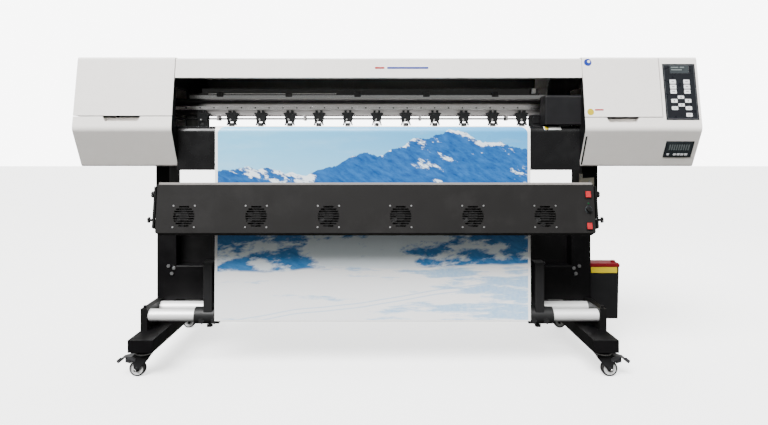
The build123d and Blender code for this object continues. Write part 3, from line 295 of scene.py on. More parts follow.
def strip_and_clips():
    """Bright encoder strip with fine lines, and black clips that stand proud of it."""
    p = Paint("encoder_strip", (0.7, 0.7, 0.7), 0.3, 1.0)
    x, y, _ = p.axes()
    clip = p.math("LESS_THAN", y, -0.09205)
    grating = p.math("GREATER_THAN", p.math("FRACT", p.math("MULTIPLY", x, 600.0)), 0.5)
    strip = p.mix(p.math("MULTIPLY", grating, 0.25), (0.66, 0.67, 0.68), (0.30, 0.31, 0.32))
    p.colour(p.mix(clip, strip, (0.02, 0.02, 0.02)))
    p.metal(p.math("SUBTRACT", 1.0, clip))
    p.rough(p.spread(clip, 0, 1, 0.26, 0.45))
    return p.bump(p.noise(600, 2), 0.00005, 0.5)


def gritted_shaft():
    """Steel feed shaft whose wider sections carry a sprayed grit."""
    p = Paint("feed_shaft", (0.5, 0.5, 0.5), 0.3, 1.0)
    _, y, z = p.axes()
    out = p.radius(y, z, (-0.123, 0.9929))
    grit = p.math("GREATER_THAN", out, 0.0108)
    fleck = p.spread(p.cells(1400), 0.1, 0.6)
    p.colour(p.mix(grit, (0.72, 0.72, 0.73), p.mix(fleck, (0.16, 0.16, 0.16), (0.34, 0.34, 0.34))))
    p.rough(p.spread(grit, 0, 1, 0.24, 0.72))
    return p.bump(p.math("MULTIPLY", p.cells(1400), grit), 0.0004, 0.8)


def grille_and_screws():
    """Black fan frames, whose screw heads stand in front of the dryer's face."""
    p = Paint("fan_frame", (0.02, 0.02, 0.02), 0.45)
    height = p.along(DRYER_NORMAL, DRYER_ORIGIN)
    screw = p.math("GREATER_THAN", height, -0.0002)
    p.colour(p.mix(screw, (0.014, 0.014, 0.014), (0.55, 0.55, 0.56)))
    p.metal(screw)
    p.rough(p.spread(screw, 0, 1, 0.5, 0.3))
    return p.bump(p.noise(500, 2), 0.0001, 0.5)


def caster_wheel(name, centre):
    """Dark polyurethane tread on a light hub."""
    p = Paint(name, (0.03, 0.03, 0.03), 0.5)
    x, _, z = p.axes()
    out = p.radius(x, z, centre)
    tread = p.math("GREATER_THAN", out, 0.0245)
    cap = p.math("LESS_THAN", out, 0.0118)
    hub = p.mix(cap, (0.46, 0.46, 0.46), (0.03, 0.03, 0.03))
    p.colour(p.mix(tread, hub, p.mix(p.spread(p.noise(60, 5), 0.4, 0.7), (0.006, 0.006, 0.006), (0.016, 0.015, 0.014))))
    p.rough(p.spread(tread, 0, 1, 0.35, 0.62))
    return p.bump(p.noise(260, 4), 0.0002, 0.6, 0.0008)


LEAN = math.atan2(0.028, 0.194)
DRYER_NORMAL = Vector((0, -math.cos(LEAN), math.sin(LEAN)))
DRYER_UP = Vector((0, math.sin(LEAN), math.cos(LEAN)))
DRYER_ORIGIN = Vector((-0.047, -0.390, 0.577))


def landscape():
    """A made-up winter view without figures: clear sky, a blue ridge with snowy peaks, a snowfield."""
    p = Paint("printed_media", (0.8, 0.8, 0.8), 0.34, Specular_IOR_Level=0.35)
    x, y, z = p.axes()
    low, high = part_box("printed_sheet")
    middle, half = (low.x + high.x) / 2, (high.x - low.x) / 2
    over = p.math("MAXIMUM", p.math("ADD", y, 0.195), 0.0)
    v = p.math("ADD", z, over)
    u = p.math("SUBTRACT", x, middle)
    sky = p.mix(p.spread(u, -0.60, 0.62), (0.180, 0.590, 0.900), (0.060, 0.340, 0.680))
    haze = p.spread(v, 0.97, 0.78, 0.0, 0.45, smooth=True)
    picture = p.mix(haze, sky, (0.34, 0.70, 0.94))
    streaks = p.noise(3.5, 5, 0.6, p.point(u, p.math("MULTIPLY", v, 4.0), 3.0))
    picture = p.mix(p.spread(streaks, 0.54, 0.80, 0.0, 0.22), picture, (0.66, 0.86, 0.98))
    # Far ridge, high at the right and low at the left
    crest = p.noise(5.0, 8, 0.55, p.point(u, 11.0, 0.0))
    hump = p.spread(
        p.math("ABSOLUTE", p.math("SUBTRACT", u, 0.34)),
        0.62,
        0.0,
        0.0,
        0.150,
        smooth=True,
    )
    top = p.math("ADD", p.math("ADD", 0.735, hump), p.math("MULTIPLY", crest, 0.175))
    depth = p.math("SUBTRACT", top, v)
    rock = p.noise(
        7.5,
        9,
        0.66,
        p.point(p.math("ADD", u, p.math("MULTIPLY", v, 0.9)), p.math("MULTIPLY", v, 1.3), 5.0),
    )
    fine = p.noise(34, 6, 0.7, p.point(p.math("ADD", u, p.math("MULTIPLY", v, 1.2)), v, 9.0))
    snow = p.math("ADD", rock, p.math("MULTIPLY", p.math("SUBTRACT", fine, 0.5), 0.22))
    near_top = p.spread(depth, 0.0, 0.060, 0.060, -0.035)
    lit = p.spread(p.math("ADD", snow, near_top), 0.560, 0.600)
    shadow = p.mix(p.spread(fine, 0.35, 0.65), (0.006, 0.060, 0.230), (0.024, 0.140, 0.400))
    ridge = p.mix(lit, shadow, (0.80, 0.90, 0.97))
    picture = p.mix(p.spread(depth, -0.0015, 0.0015), picture, ridge)
    # Nearer slopes, whiter towards the middle
    slope_line = p.math(
        "ADD",
        p.math("MULTIPLY", p.noise(3.4, 6, 0.5, p.point(u, 29.0, 0.0)), 0.10),
        0.585,
    )
    centre_white = p.spread(p.math("ABSOLUTE", u), 0.42, 0.10, 0.0, 0.16, smooth=True)
    folds = p.noise(
        6.0,
        8,
        0.62,
        p.point(
            p.math("SUBTRACT", u, p.math("MULTIPLY", v, 0.6)),
            p.math("MULTIPLY", v, 2.2),
            17.0,
        ),
    )
    bright = p.spread(p.math("ADD", folds, centre_white), 0.50, 0.58)
    slopes = p.mix(
        bright,
        p.mix(p.spread(fine, 0.3, 0.7), (0.022, 0.150, 0.430), (0.090, 0.300, 0.640)),
        (0.84, 0.92, 0.98),
    )
    picture = p.mix(p.spread(p.math("SUBTRACT", slope_line, v), -0.002, 0.004), picture, slopes)
    # Snowfield: white at the left, long blue shadows towards the right
    edge = p.math(
        "ADD",
        p.math("MULTIPLY", p.noise(2.0, 4, 0.5, p.point(u, 71.0, 0.0)), 0.09),
        0.375,
    )
    edge = p.math("ADD", edge, p.math("MULTIPLY", u, 0.03))
    drift = p.noise(
        4.2,
        7,
        0.62,
        p.point(p.math("MULTIPLY", u, 0.9), p.math("MULTIPLY", v, 6.0), 7.0),
    )
    to_right = p.spread(u, -0.25, 0.45, -0.10, 0.075)
    shade = p.spread(p.math("ADD", drift, to_right), 0.50, 0.62, smooth=True)
    snowfield = p.mix(shade, (0.965, 0.975, 0.99), (0.36, 0.58, 0.83))
    crust = p.spread(p.noise(85, 5, 0.65), 0.40, 0.72, 0.0, 0.30)
    snowfield = p.mix(crust, snowfield, (0.98, 0.985, 0.995))
    track = p.math(
        "ADD",
        p.math("MULTIPLY", u, 0.16),
        p.math("MULTIPLY", p.noise(1.4, 2, 0.4, p.point(u, 5.0, 0.0)), 0.10),
    )
    for offset in (0.215, 0.232):
        line = p.math("ABSOLUTE", p.math("SUBTRACT", p.math("SUBTRACT", v, offset), track))
        snowfield = p.mix(p.spread(line, 0.0012, 0.0034, 0.55, 0.0), snowfield, (0.42, 0.60, 0.82))
    picture = p.mix(p.spread(p.math("SUBTRACT", edge, v), -0.003, 0.006), picture, snowfield)
    edge_u = p.math("SUBTRACT", p.math("ABSOLUTE", u), half - 0.041)
    edge_v = p.math("SUBTRACT", v, 1.002 - 0.030)
    squares = p.math(
        "ADD",
        p.math("POWER", p.math("MAXIMUM", edge_u, 0.0), 2.0),
        p.math("POWER", p.math("MAXIMUM", edge_v, 0.0), 2.0),
    )
    border = p.math("GREATER_THAN", p.math("SQRT", squares), 0.030)
    foot_edge = p.math("LESS_THAN", v, 0.205)
    picture = p.mix(p.math("MAXIMUM", border, foot_edge), picture, (0.96, 0.96, 0.96))
    p.colour(picture)
    p.rough(p.spread(p.noise(4, 4), 0.3, 0.7, 0.26, 0.40))
    return p.bump(p.noise(3.0, 3), 0.0012, 0.25)


def dress(material, *names):
    for name in names:
        mesh = nodes[name].data
        mesh.materials.clear()
        mesh.materials.append(material)


dress(
    cream,
    "left_end_cover",
    "right_end_cover",
    "left_lid",
    "right_lid",
    "top_cover",
    "rear_cover",
)
dress(black_coat, "foot_beams", "stand_legs", "crossbeam")
dress(rear_coat, "rear_stand_panel")
dress(plate_coat, "roller_side_plates", "dryer_brackets")
dress(frame_coat, "base_frame")
dress(platen_metal, "platen")
dress(apron_coat, "front_apron")
dress(beam_metal, "carriage_beam")
dress(rail_metal, "linear_rail")
dress(strip_and_clips(), "encoder_strip")
dress(belt_rubber, "drive_belt")
dress(gloss_black(), "ink_tube_tray")
dress(moulded("keypad_film", (0.0080, 0.0092, 0.0120), 0.3, 900), "control_panel")
dress(carriage_plastic, "print_carriage")
dress(black_plastic, "capping_station")
dress(landscape(), "printed_sheet")
dress(pulley_metal, "drive_pulley", "idler_pulley")
dress(gritted_shaft(), "feed_roller")
dress(arm_plastic, "pinch_arms")
dress(rubber, "pinch_wheels")
dress(dryer_coat, "dryer_case")
dress(grille_and_screws(), "fan_frames")
dress(black_plastic, *[f"fan_rotor_{i}" for i in range(1, 7)])
dress(
    knob_plastic,
    "fan_speed_knob",
    *[f"dryer_knob_{a}_{b}" for a in ("upper", "lower") for b in ("left", "right")],
)
dress(bolt_metal, "stand_bolts")
dress(tube_metal, "front_takeup_roller", "rear_takeup_roller")
dress(guide_plastic, "left_media_guide", "right_media_guide")
dress(tank_plastic, "waste_ink_box")
dress(pedal_plastic, "brake_pedal_left", "brake_pedal_right")


def rocker_red():
    p = Paint("rocker_red", (0.36, 0.008, 0.012), 0.26, Coat_Weight=0.25)
    p.colour(p.mix(p.spread(p.noise(90, 3), 0.3, 0.7), (0.40, 0.010, 0.014), (0.28, 0.006, 0.010)))
    return p.bump(p.noise(400, 2), 0.00008, 0.4, 0.0008)


dress(rocker_red(), "upper_rocker_switch", "lower_rocker_switch")
for end in ("front", "rear"):
    for side in ("left", "right"):
        low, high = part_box(f"caster_wheel_{end}_{side}")
        centre = ((low.x + high.x) / 2, (low.z + high.z) / 2)
        dress(caster_wheel(f"caster_tread_{end}_{side}", centre), f"caster_wheel_{end}_{side}")
        dress(fork_coat, f"caster_fork_{end}_{side}")


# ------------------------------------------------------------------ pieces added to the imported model
class Face:
    """A flat working face: a point on it from distances right, up and out of it."""

    def __init__(self, origin, up, out):
        self.origin, self.up, self.out = Vector(origin), Vector(up).normalized(), Vector(out).normalized()
        self.right = Vector((1, 0, 0))

    def at(self, right, up, out=0.0):
        return self.origin + self.right * right + self.up * up + self.out * out


UPPER = Face((0, -0.290, 0.990), (0, 0.050, 0.298), (0, -0.298, 0.050))
LOWER = Face((0, -0.290, 0.990), (0, -0.080, 0.151), (0, -0.151, -0.080))
DRYER = Face((0, DRYER_ORIGIN.y, DRYER_ORIGIN.z), DRYER_UP, DRYER_NORMAL)
FRONT = Face((0, 0, 0), (0, 0, 1), (0, -1, 0))
BACK = Face((0, 0, 0), (0, 0, 1), (0, 1, 0))
UPPER_RISE = math.hypot(0.050, 0.298) / 0.298
LOWER_RISE = math.hypot(0.080, 0.151) / 0.151
DRYER_RISE = 1.0 / math.cos(LEAN)


def upper_height(z):
    return (z - 0.990) * UPPER_RISE


def lower_height(z):
    return (z - 0.990) * LOWER_RISE


def dryer_height(z):
    return (z - 0.577) * DRYER_RISE


def rounded(width, height, radius, steps=4):
    """Outline of a rectangle with round corners, about its middle."""
    outline = []
    for quarter, (sx, sy) in enumerate(((1, 1), (-1, 1), (-1, -1), (1, -1))):
        for step in range(steps + 1):
            angle = math.radians(90 * quarter + 90 * step / steps)
            outline.append(
                (
                    sx * (width / 2 - radius) + radius * math.cos(angle),
                    sy * (height / 2 - radius) + radius * math.sin(angle),
                )
            )
    return outline


def disc(radius, steps=32):
    return [(radius * math.cos(2 * math.pi * i / steps), radius * math.sin(2 * math.pi * i / steps)) for i in range(steps)]


def raise_outline(mesh, face, outline, centre, base, top, ease=0.0):
    """Adds a closed solid over an outline on a face, its top edge eased inwards."""
    rings = [(base, 0.0), (top - ease, 0.0)] + ([(top, ease)] if ease else [])
    loops = []
    for out, inward in rings:
        loop = []
        for right, up in outline:
            length = math.hypot(right, up) or 1.0
            shrink = (length - inward) / length
            loop.append(mesh.verts.new(face.at(centre[0] + right * shrink, centre[1] + up * shrink, out)))
        loops.append(loop)
    count = len(outline)
    for lower, upper in zip(loops, loops[1:]):
        for i in range(count):
            mesh.faces.new((lower[i], lower[(i + 1) % count], upper[(i + 1) % count], upper[i]))
    mesh.faces.new(loops[-1])
    mesh.faces.new(list(reversed(loops[0])))


def make(name, mesh, material, body, smooth=False):
    bmesh.ops.recalc_face_normals(mesh, faces=mesh.faces)
    data = bpy.data.meshes.new(name)
    mesh.to_mesh(data)
    mesh.free()
    data.materials.append(material)
    for polygon in data.polygons:
        polygon.use_smooth = smooth
    piece = bpy.data.objects.new(name, data)
    SCENE.collection.objects.link(piece)
    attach(piece, body)
    return piece


def raised(name, face, items, material, body):
    """One piece from several raised outlines: (outline, centre, base, top, ease)."""
    mesh = bmesh.new()
    for outline, centre, base, top, ease in items:
        raise_outline(mesh, face, outline, centre, base, top, ease)
    return make(name, mesh, material, body)


key_white = moulded("key_white", (0.74, 0.75, 0.76), 0.4, 900, 0.0002)
key_dark = moulded("key_dark", (0.010, 0.011, 0.013), 0.35, 900, 0.0002)
glass = Paint("display_glass", (0.020, 0.026, 0.030), 0.08, Coat_Weight=0.6, Coat_Roughness=0.04)
glass.colour(glass.mix(glass.spread(glass.noise(12, 2), 0.3, 0.7), (0.016, 0.021, 0.025), (0.028, 0.036, 0.040)))
glass = glass.bump(glass.noise(20, 2), 0.0001, 0.2)
segment = moulded("display_segment", (0.13, 0.15, 0.15), 0.4, 900, 0.0001)
border_line = moulded("panel_border", (0.10, 0.105, 0.11), 0.4, 900, 0.0001)
label_yellow = moulded("label_yellow", (0.50, 0.38, 0.006), 0.45, 300, 0.0002)
label_white = moulded("label_white", (0.78, 0.78, 0.76), 0.45, 300, 0.0002)
label_blue = moulded("label_blue", (0.012, 0.035, 0.26), 0.4, 300, 0.0002)
label_red = moulded("label_red", (0.36, 0.010, 0.012), 0.45, 300, 0.0002)
lid_red = moulded("waste_lid_red", (0.135, 0.004, 0.008), 0.46, 420, 0.0006)
bracket_beige = powder_coat("bracket_beige", (0.90, 0.84, 0.70), 0.5, 420, 0.00018)
# Near-black colour for the plate behind the cover slot: painted shade
slot_shade_black = moulded("painted_shade_backing", (0.006, 0.006, 0.006), 0.6, 500, 0.0002)
led_green = moulded("lamp_green", (0.004, 0.060, 0.020), 0.2, 900, 0.0002)

PANEL_X = 1.1935
COLUMNS = (-0.029, -0.001, 0.027)
key_rows = (
    (0, 1.184, 0.019), (2, 1.184, 0.019), (0, 1.1635, 0.019), (2, 1.1635, 0.019), (0, 1.143, 0.019),
    (2, 1.143, 0.019), (1, 1.120, 0.015), (0, 1.105, 0.017), (2, 1.105, 0.017), (1, 1.088, 0.015),
    (0, 1.075, 0.017), (2, 1.075, 0.017), (2, 1.0475, 0.017),
)
caps = [
    (
        rounded(0.025, height - 0.002, 0.0022),
        (PANEL_X + COLUMNS[column], upper_height(z)),
        0.0016,
        0.0026,
        0.0004,
    )
    for column, z, height in key_rows
]
raised("key_caps", UPPER, caps, key_white, "machine_frame")
marks = []
for column, z, height in key_rows:
    centre = (PANEL_X + COLUMNS[column], upper_height(z))
    arrow = {
        1.120: [(-0.004, -0.002), (0.004, -0.002), (0.0, 0.004)],
        1.088: [(-0.004, 0.002), (0.0, -0.004), (0.004, 0.002)],
    }.get(z)
    if z == 1.105:
        turn = -1 if column == 0 else 1
        arrow = [(turn * 0.004, 0.0), (-turn * 0.002, 0.004), (-turn * 0.002, -0.004)]
    marks.append((arrow or rounded(0.011, 0.0022, 0.001), centre, 0.0024, 0.0029, 0.0))
raised("key_marks", UPPER, marks, key_dark, "machine_frame")
middle = upper_height(1.143)
frame_bars = [
    (
        rounded(0.123, 0.0012, 0.0005),
        (PANEL_X, middle + side * 0.112),
        0.0010,
        0.0015,
        0.0,
    ) for side in (-1, 1)
] + [
    (
        rounded(0.0012, 0.224, 0.0005),
        (PANEL_X + side * 0.0609, middle),
        0.0010,
        0.0015,
        0.0,
    ) for side in (-1, 1)
]
raised("panel_border", UPPER, frame_bars, border_line, "machine_frame")
raised(
    "display_window",
    UPPER,
    [(rounded(0.077, 0.034, 0.002), (PANEL_X + 0.002, upper_height(1.2363)), 0.0006, 0.0011, 0.0002)],
    glass,
    "machine_frame",
)
raised(
    "display_rows",
    UPPER,
    [
        (
            rounded(width, 0.0045, 0.0006),
            (PANEL_X + shift, upper_height(1.2363 + rise)),
            0.0009,
            0.0013,
            0.0,
        )
        for width, shift, rise in (
            (0.030, -0.016, 0.008),
            (0.018, 0.014, 0.008),
            (0.044, -0.009, -0.002),
        )
    ],
    segment,
    "machine_frame",
)
raised(
    "second_display",
    LOWER,
    [(rounded(0.106, 0.064, 0.003), (PANEL_X, lower_height(0.910)), 0.0020, 0.0031, 0.0004)],
    glass,
    "machine_frame",
)
digits = []
for place in range(9):
    digits.append((rounded(0.0058, 0.026, 0.0008), (PANEL_X - 0.0385 + place * 0.0096, lower_height(0.918)), 0.0029, 0.0034, 0.0))
raised("second_display_digits", LOWER, digits, segment, "machine_frame")
blocks = []
for place, width in (
    (-0.040, 0.010),
    (-0.012, 0.012),
    (0.003, 0.012),
    (0.018, 0.012),
    (0.034, 0.012),
):
    blocks.append((rounded(width, 0.009, 0.001), (PANEL_X + place, lower_height(0.8895)), 0.0029, 0.0036, 0.0002))
raised("second_display_keys", LOWER, blocks, key_white, "machine_frame")

# Dryer controls: a bezel round each rocker, a dial ring with ticks, and a lamp
SWITCH_X = 0.780


def ring_on(face, name, outer, inner, centre, base, top, material, body):
    """Raised frame between two outlines with the same number of points."""
    mesh = bmesh.new()
    levels = []
    for outline, out in ((outer, base), (outer, top), (inner, top), (inner, base)):
        levels.append([mesh.verts.new(face.at(centre[0] + a, centre[1] + b, out)) for a, b in outline])
    count = len(outer)
    for one, two in zip(levels, levels[1:] + levels[:1]):
        for i in range(count):
            mesh.faces.new((one[i], one[(i + 1) % count], two[(i + 1) % count], two[i]))
    return make(name, mesh, material, body)


for name, z in (("upper", 0.733), ("lower", 0.612)):
    centre = (SWITCH_X, dryer_height(z))
    ring_on(
        DRYER, f"{name}_rocker_bezel", rounded(
            0.0265,
            0.0325,
            0.003,
        ), rounded(0.0208, 0.0264, 0.001),
        centre, -0.0002, 0.0022, black_plastic, "dryer",
    )
dial = (SWITCH_X, dryer_height(0.675))
ring_on(
    DRYER,
    "speed_dial_ring",
    disc(0.0150),
    disc(0.0100),
    dial,
    -0.0002,
    0.0006,
    key_dark,
    "dryer",
)
ticks = []
for step in range(11):
    angle = math.radians(225 - 27 * step)
    centre = (dial[0] + 0.0128 * math.cos(angle), dial[1] + 0.0128 * math.sin(angle))
    ticks.append((disc(0.0007, 8), centre, 0.0004, 0.0009, 0.0))
raised("speed_dial_ticks", DRYER, ticks, segment, "dryer")
raised(
    "dryer_lamp",
    DRYER,
    [(disc(0.0032, 20), (SWITCH_X, dryer_height(0.6985)), -0.0002, 0.0022, 0.0010)],
    led_green,
    "dryer",
)

# Small pale bracket on the front of the right leg's head
leg_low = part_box("stand_legs")[0]
head_front = -leg_low.y
shape = [
    (0.853, 0.801),
    (0.853, 0.758),
    (0.910, 0.746),
    (0.918, 0.746),
    (0.918, 0.785),
    (0.868, 0.781),
    (0.868, 0.801),
]
centre = (0.885, 0.775)
outline = [(x - centre[0], z - centre[1]) for x, z in shape]
mesh = bmesh.new()
loops = [[mesh.verts.new(FRONT.at(centre[0] + a, centre[1] + b, out)) for a, b in outline] for out in (head_front, head_front + 0.003)]
mesh.faces.new(loops[1])
mesh.faces.new(list(reversed(loops[0])))
for i in range(len(outline)):
    j = (i + 1) % len(outline)
    mesh.faces.new((loops[0][i], loops[0][j], loops[1][j], loops[1][i]))
make("angle_bracket", mesh, bracket_beige, "machine_frame")
raised(
    "angle_bracket_screws",
    FRONT,
    [(disc(0.0042, 20), (x, z), head_front + 0.0028, head_front + 0.0052, 0.0008) for x, z in ((0.8605, 0.790), (0.897, 0.768))],
    bright_zinc,
    "machine_frame",
)

# Waste box: red lid strip that wraps its rim, and a plain label
box_low, box_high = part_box("waste_ink_box")
rim_x = (0.924, box_high.x)
rim_y = (box_low.y, box_high.y)


def sleeve(name, x_range, y_range, z_range, thickness, material, body):
    """Thin band round an upright box."""
    mesh = bmesh.new()
    levels = []
    for grow, z in (
        (0, z_range[0]),
        (thickness, z_range[0]),
        (thickness, z_range[1]),
        (0, z_range[1]),
    ):
        corners = (
            (x_range[0] - grow, y_range[0] - grow), (x_range[1] + grow, y_range[0] - grow),
            (x_range[1] + grow, y_range[1] + grow), (x_range[0] - grow, y_range[1] + grow),
        )
        levels.append([mesh.verts.new((x, y, z)) for x, y in corners])
    for one, two in zip(levels, levels[1:] + levels[:1]):
        for i in range(4):
            mesh.faces.new((one[i], one[(i + 1) % 4], two[(i + 1) % 4], two[i]))
    return make(name, mesh, material, body)


sleeve(
    "waste_lid_band",
    rim_x,
    rim_y,
    (box_high.z - 0.0118, box_high.z),
    0.0012,
    lid_red,
    "waste_ink_box",
)
lid = bmesh.new()
raise_outline(
    lid, Face((0, 0, 0), (0, 1, 0), (0, 0, 1)), rounded(
        rim_x[1] - rim_x[0],
        rim_y[1] - rim_y[0],
        0.003,
    ),
    (sum(rim_x) / 2, sum(rim_y) / 2), box_high.z - 0.0002, box_high.z + 0.0035, 0.0012,
)
make("waste_lid_top", lid, lid_red, "waste_ink_box")
grip = bmesh.new()
raise_outline(
    grip, Face((0, 0, 0), (0, 1, 0), (0, 0, 1)), disc(0.010, 28),
    (rim_x[1] - 0.018, rim_y[0] + 0.030), box_high.z + 0.003, box_high.z + 0.013, 0.0015,
)
make("waste_filler_cap", grip, lid_red, "waste_ink_box")
raised(
    "waste_box_label",
    FRONT,
    [(rounded(0.118, 0.026, 0.002), (0.9885, box_high.z - 0.0265), -rim_y[0] - 0.0012, -rim_y[0] + 0.0006, 0.0002)],
    label_yellow,
    "waste_ink_box",
)

# Plain stickers and a thin generic stripe on the covers
raised(
    "lid_sticker_disc",
    UPPER,
    [(disc(0.0155), (0.8235, upper_height(1.2655)), -0.0002, 0.0005, 0.0)],
    label_blue,
    "right_lid",
)
raised(
    "lid_sticker_disc_dot",
    UPPER,
    [(disc(0.006), (0.8275, upper_height(1.2690)), 0.0004, 0.0007, 0.0)],
    label_white,
    "right_lid",
)
raised(
    "lid_sticker_round",
    UPPER,
    [(disc(0.0135), (0.823, upper_height(1.060)), -0.0002, 0.0005, 0.0)],
    label_yellow,
    "right_lid",
)
raised(
    "lid_sticker_bar",
    UPPER,
    [(rounded(0.036, 0.006, 0.001), (0.858, upper_height(1.0685)), -0.0002, 0.0005, 0.0)],
    label_red,
    "right_lid",
)
stripe = (rounded(0.170, 0.008, 0.0035), (0.085, upper_height(1.2435)), -0.0045, -0.0036, 0.0002)
raised("fascia_stripe_blue", UPPER, [stripe], label_blue, "machine_frame")
raised(
    "fascia_stripe_red", UPPER, [(rounded(0.040, 0.008, 0.0035), (-0.030, upper_height(1.2435)), -0.0045, -0.0036, 0.0002)],
    label_red, "machine_frame",
)

# Sticker on the curved top of the apron, at the right
apron_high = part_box("front_apron")[1]
mesh = bmesh.new()
rows = []
for step in range(9):
    angle = math.radians(20 + 6 * step)
    out = 0.0253
    y = -0.195 - out * math.sin(angle)
    z = apron_high.z - 0.025 + out * math.cos(angle)
    rows.append([mesh.verts.new((x, y, z)) for x in (0.652, 0.724)])
for one, two in zip(rows, rows[1:]):
    mesh.faces.new((one[0], one[1], two[1], two[0]))
sticker = make("apron_sticker", mesh, label_white, "machine_frame", smooth=True)
thick = sticker.modifiers.new("thickness", "SOLIDIFY")
thick.thickness = 0.0004
thick.offset = 0
mesh = bmesh.new()
rows = []
for step in range(9):
    angle = math.radians(22 + 5.5 * step)
    out = 0.0257
    y = -0.195 - out * math.sin(angle)
    z = apron_high.z - 0.025 + out * math.cos(angle)
    rows.append([mesh.verts.new((x, y, z)) for x in (0.655, 0.672)])
for one, two in zip(rows, rows[1:]):
    mesh.faces.new((one[0], one[1], two[1], two[0]))
patch = make("apron_sticker_patch", mesh, label_yellow, "machine_frame", smooth=True)
thick = patch.modifiers.new("thickness", "SOLIDIFY")
thick.thickness = 0.0003
thick.offset = 0

# Screws of the pinch arms
arm_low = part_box("pinch_arms")[0]
PINCH_X = [-0.792 + 0.125 * i for i in range(12)]
raised(
    "pinch_arm_screws",
    FRONT,
    [(disc(0.0042, 20), (x - 0.004, 1.0365), -arm_low.y - 0.0002, -arm_low.y + 0.0020, 0.0007) for x in PINCH_X],
    bright_zinc,
    "pinch_arms",
)
raised(
    "rail_screws",
    FRONT,
    [(disc(0.0030, 16), (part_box("linear_rail")[0].x + 0.020 + 0.060 * i, 1.089), 0.1004, 0.1018, 0.0005) for i in range(37)],
    black_plastic,
    "machine_frame",
)
tow = bmesh.new()
raise_outline(tow, FRONT, rounded(0.016, 0.022, 0.003), (0.640, 1.163), 0.086, 0.104, 0.001)
make("tube_tray_clamp", tow, bright_zinc, "machine_frame")
raised(
    "tray_front_lip",
    FRONT,
    [(rounded(0.56, 0.0035, 0.001), (-0.500, 1.152), 0.0822, 0.0836, 0.0004)],
    bright_zinc,
    "machine_frame",
)

# Pale grey strip along the dryer's top edge: a painted highlight for the light that edge catches
raised(
    "dryer_top_highlight_strip",
    DRYER,
    [(rounded(1.690, 0.0085, 0.0012), (-0.047, 0.2000), -0.0100, -0.0012, 0.0006)],
    powder_coat("painted_highlight_grey", (0.22, 0.205, 0.195), 0.4, 420, 0.0001, 0.4),
    "dryer",
)

# Bright heads on the caster axles, and the silver swivel ring above each fork
for end in ("front", "rear"):
    for side in ("left", "right"):
        low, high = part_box(f"caster_wheel_{end}_{side}")
        axle = ((low.x + high.x) / 2, (low.z + high.z) / 2)
        fork_low, fork_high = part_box(f"caster_fork_{end}_{side}")
        raised(
            f"axle_head_{end}_{side}",
            FRONT,
            [(disc(0.0048, 24), axle, -fork_low.y - 0.0004, -fork_low.y + 0.0022, 0.0010)],
            bright_zinc,
            f"caster_fork_{end}_{side}",
        )
        swivel = ((fork_low.x + fork_high.x) / 2, (fork_low.y + fork_high.y) / 2)
        pin_x = (fork_low.x + 0.033) if side == "right" else (fork_high.x - 0.033)
        ring_on(
            Face(
                (0, 0, 0),
                (0, 1, 0),
                (0, 0, 1),
            ), f"swivel_ring_{end}_{side}", disc(0.0338, 48), disc(0.0326, 48),
            (
                pin_x,
                swivel[1],
            ), 0.0915, 0.0945, bright_zinc, f"caster_fork_{end}_{side}",
        )

# Dark gear cover to the right of the last pinch arm
for name, x_range, z_range, depth in (
    ("feed_gear_cover", (0.616, 0.742), (1.0085, 1.0560), (0.100, 0.128)),
    ("feed_gear_cover_boss", (0.626, 0.664), (1.0200, 1.0480), (0.127, 0.133)),
):
    raised(
        name,
        FRONT,
        [(
            rounded(x_range[1] - x_range[0], z_range[1] - z_range[0], 0.006),
            (sum(x_range) / 2, sum(z_range) / 2), depth[0], depth[1], 0.002,
        )],
        black_plastic,
        "machine_frame",
    )

# Near-black plate behind the slot in the right cover's lower face: painted shade for the dark interior seen through the
# slot
raised(
    "lower_slot_shade_plate",
    LOWER,
    [(rounded(0.012, 0.138, 0.001), (0.809, -0.100), -0.0060, -0.0034, 0.0)],
    slot_shade_black,
    "machine_frame",
)

# Rear: power inlet with its switch, and louvres
right_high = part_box("right_end_cover")[1]
back_out = right_high.y
raised(
    "power_inlet",
    BACK,
    [(rounded(0.062, 0.050, 0.004), (1.060, 0.905), back_out - 0.0005, back_out + 0.0022, 0.0006)],
    black_plastic,
    "machine_frame",
)
ring_on(
    BACK,
    "power_inlet_socket",
    rounded(0.030, 0.022, 0.004),
    rounded(0.0265, 0.0185, 0.003),
    (1.048, 0.905),
    back_out + 0.0018,
    back_out + 0.0050,
    key_dark,
    "machine_frame",
)
raised(
    "power_inlet_pins", BACK,
    [(rounded(0.0022, 0.0050, 0.0006), (1.048 + dx, 0.905 + dz), back_out + 0.0018, back_out + 0.0042, 0.0004) for dx, dz in ((-0.007, -0.001), (0.007, -0.001), (0.0, 0.003))],
    bright_zinc, "machine_frame",
)
raised(
    "power_switch",
    BACK,
    [(rounded(0.013, 0.020, 0.0015), (1.080, 0.905), back_out + 0.0018, back_out + 0.0062, 0.0010)],
    label_red,
    "machine_frame",
)
louvres = []
for column in (-1, 1):
    for row in range(8):
        louvres.append((rounded(0.070, 0.0045, 0.0021), (1.060 + column * 0.045, 1.010 + row * 0.013), back_out - 0.0004, back_out + 0.0028, 0.0010))
raised("rear_louvres_right", BACK, louvres, cream, "machine_frame")
louvres = []
for column in (-1, 1):
    for row in range(8):
        louvres.append((rounded(0.070, 0.0045, 0.0021), (-1.070 + column * 0.045, 1.010 + row * 0.013), back_out - 0.0004, back_out + 0.0028, 0.0010))
raised("rear_louvres_left", BACK, louvres, cream, "machine_frame")
screws = []
for x in (-1.240, -0.900, 0.830, 1.240):
    for z in (0.870, 1.050, 1.170):
        screws.append((disc(0.0045, 20), (x, z), back_out - 0.0004, back_out + 0.0018, 0.0008))
raised("rear_cover_screws", BACK, screws, bright_zinc, "machine_frame")


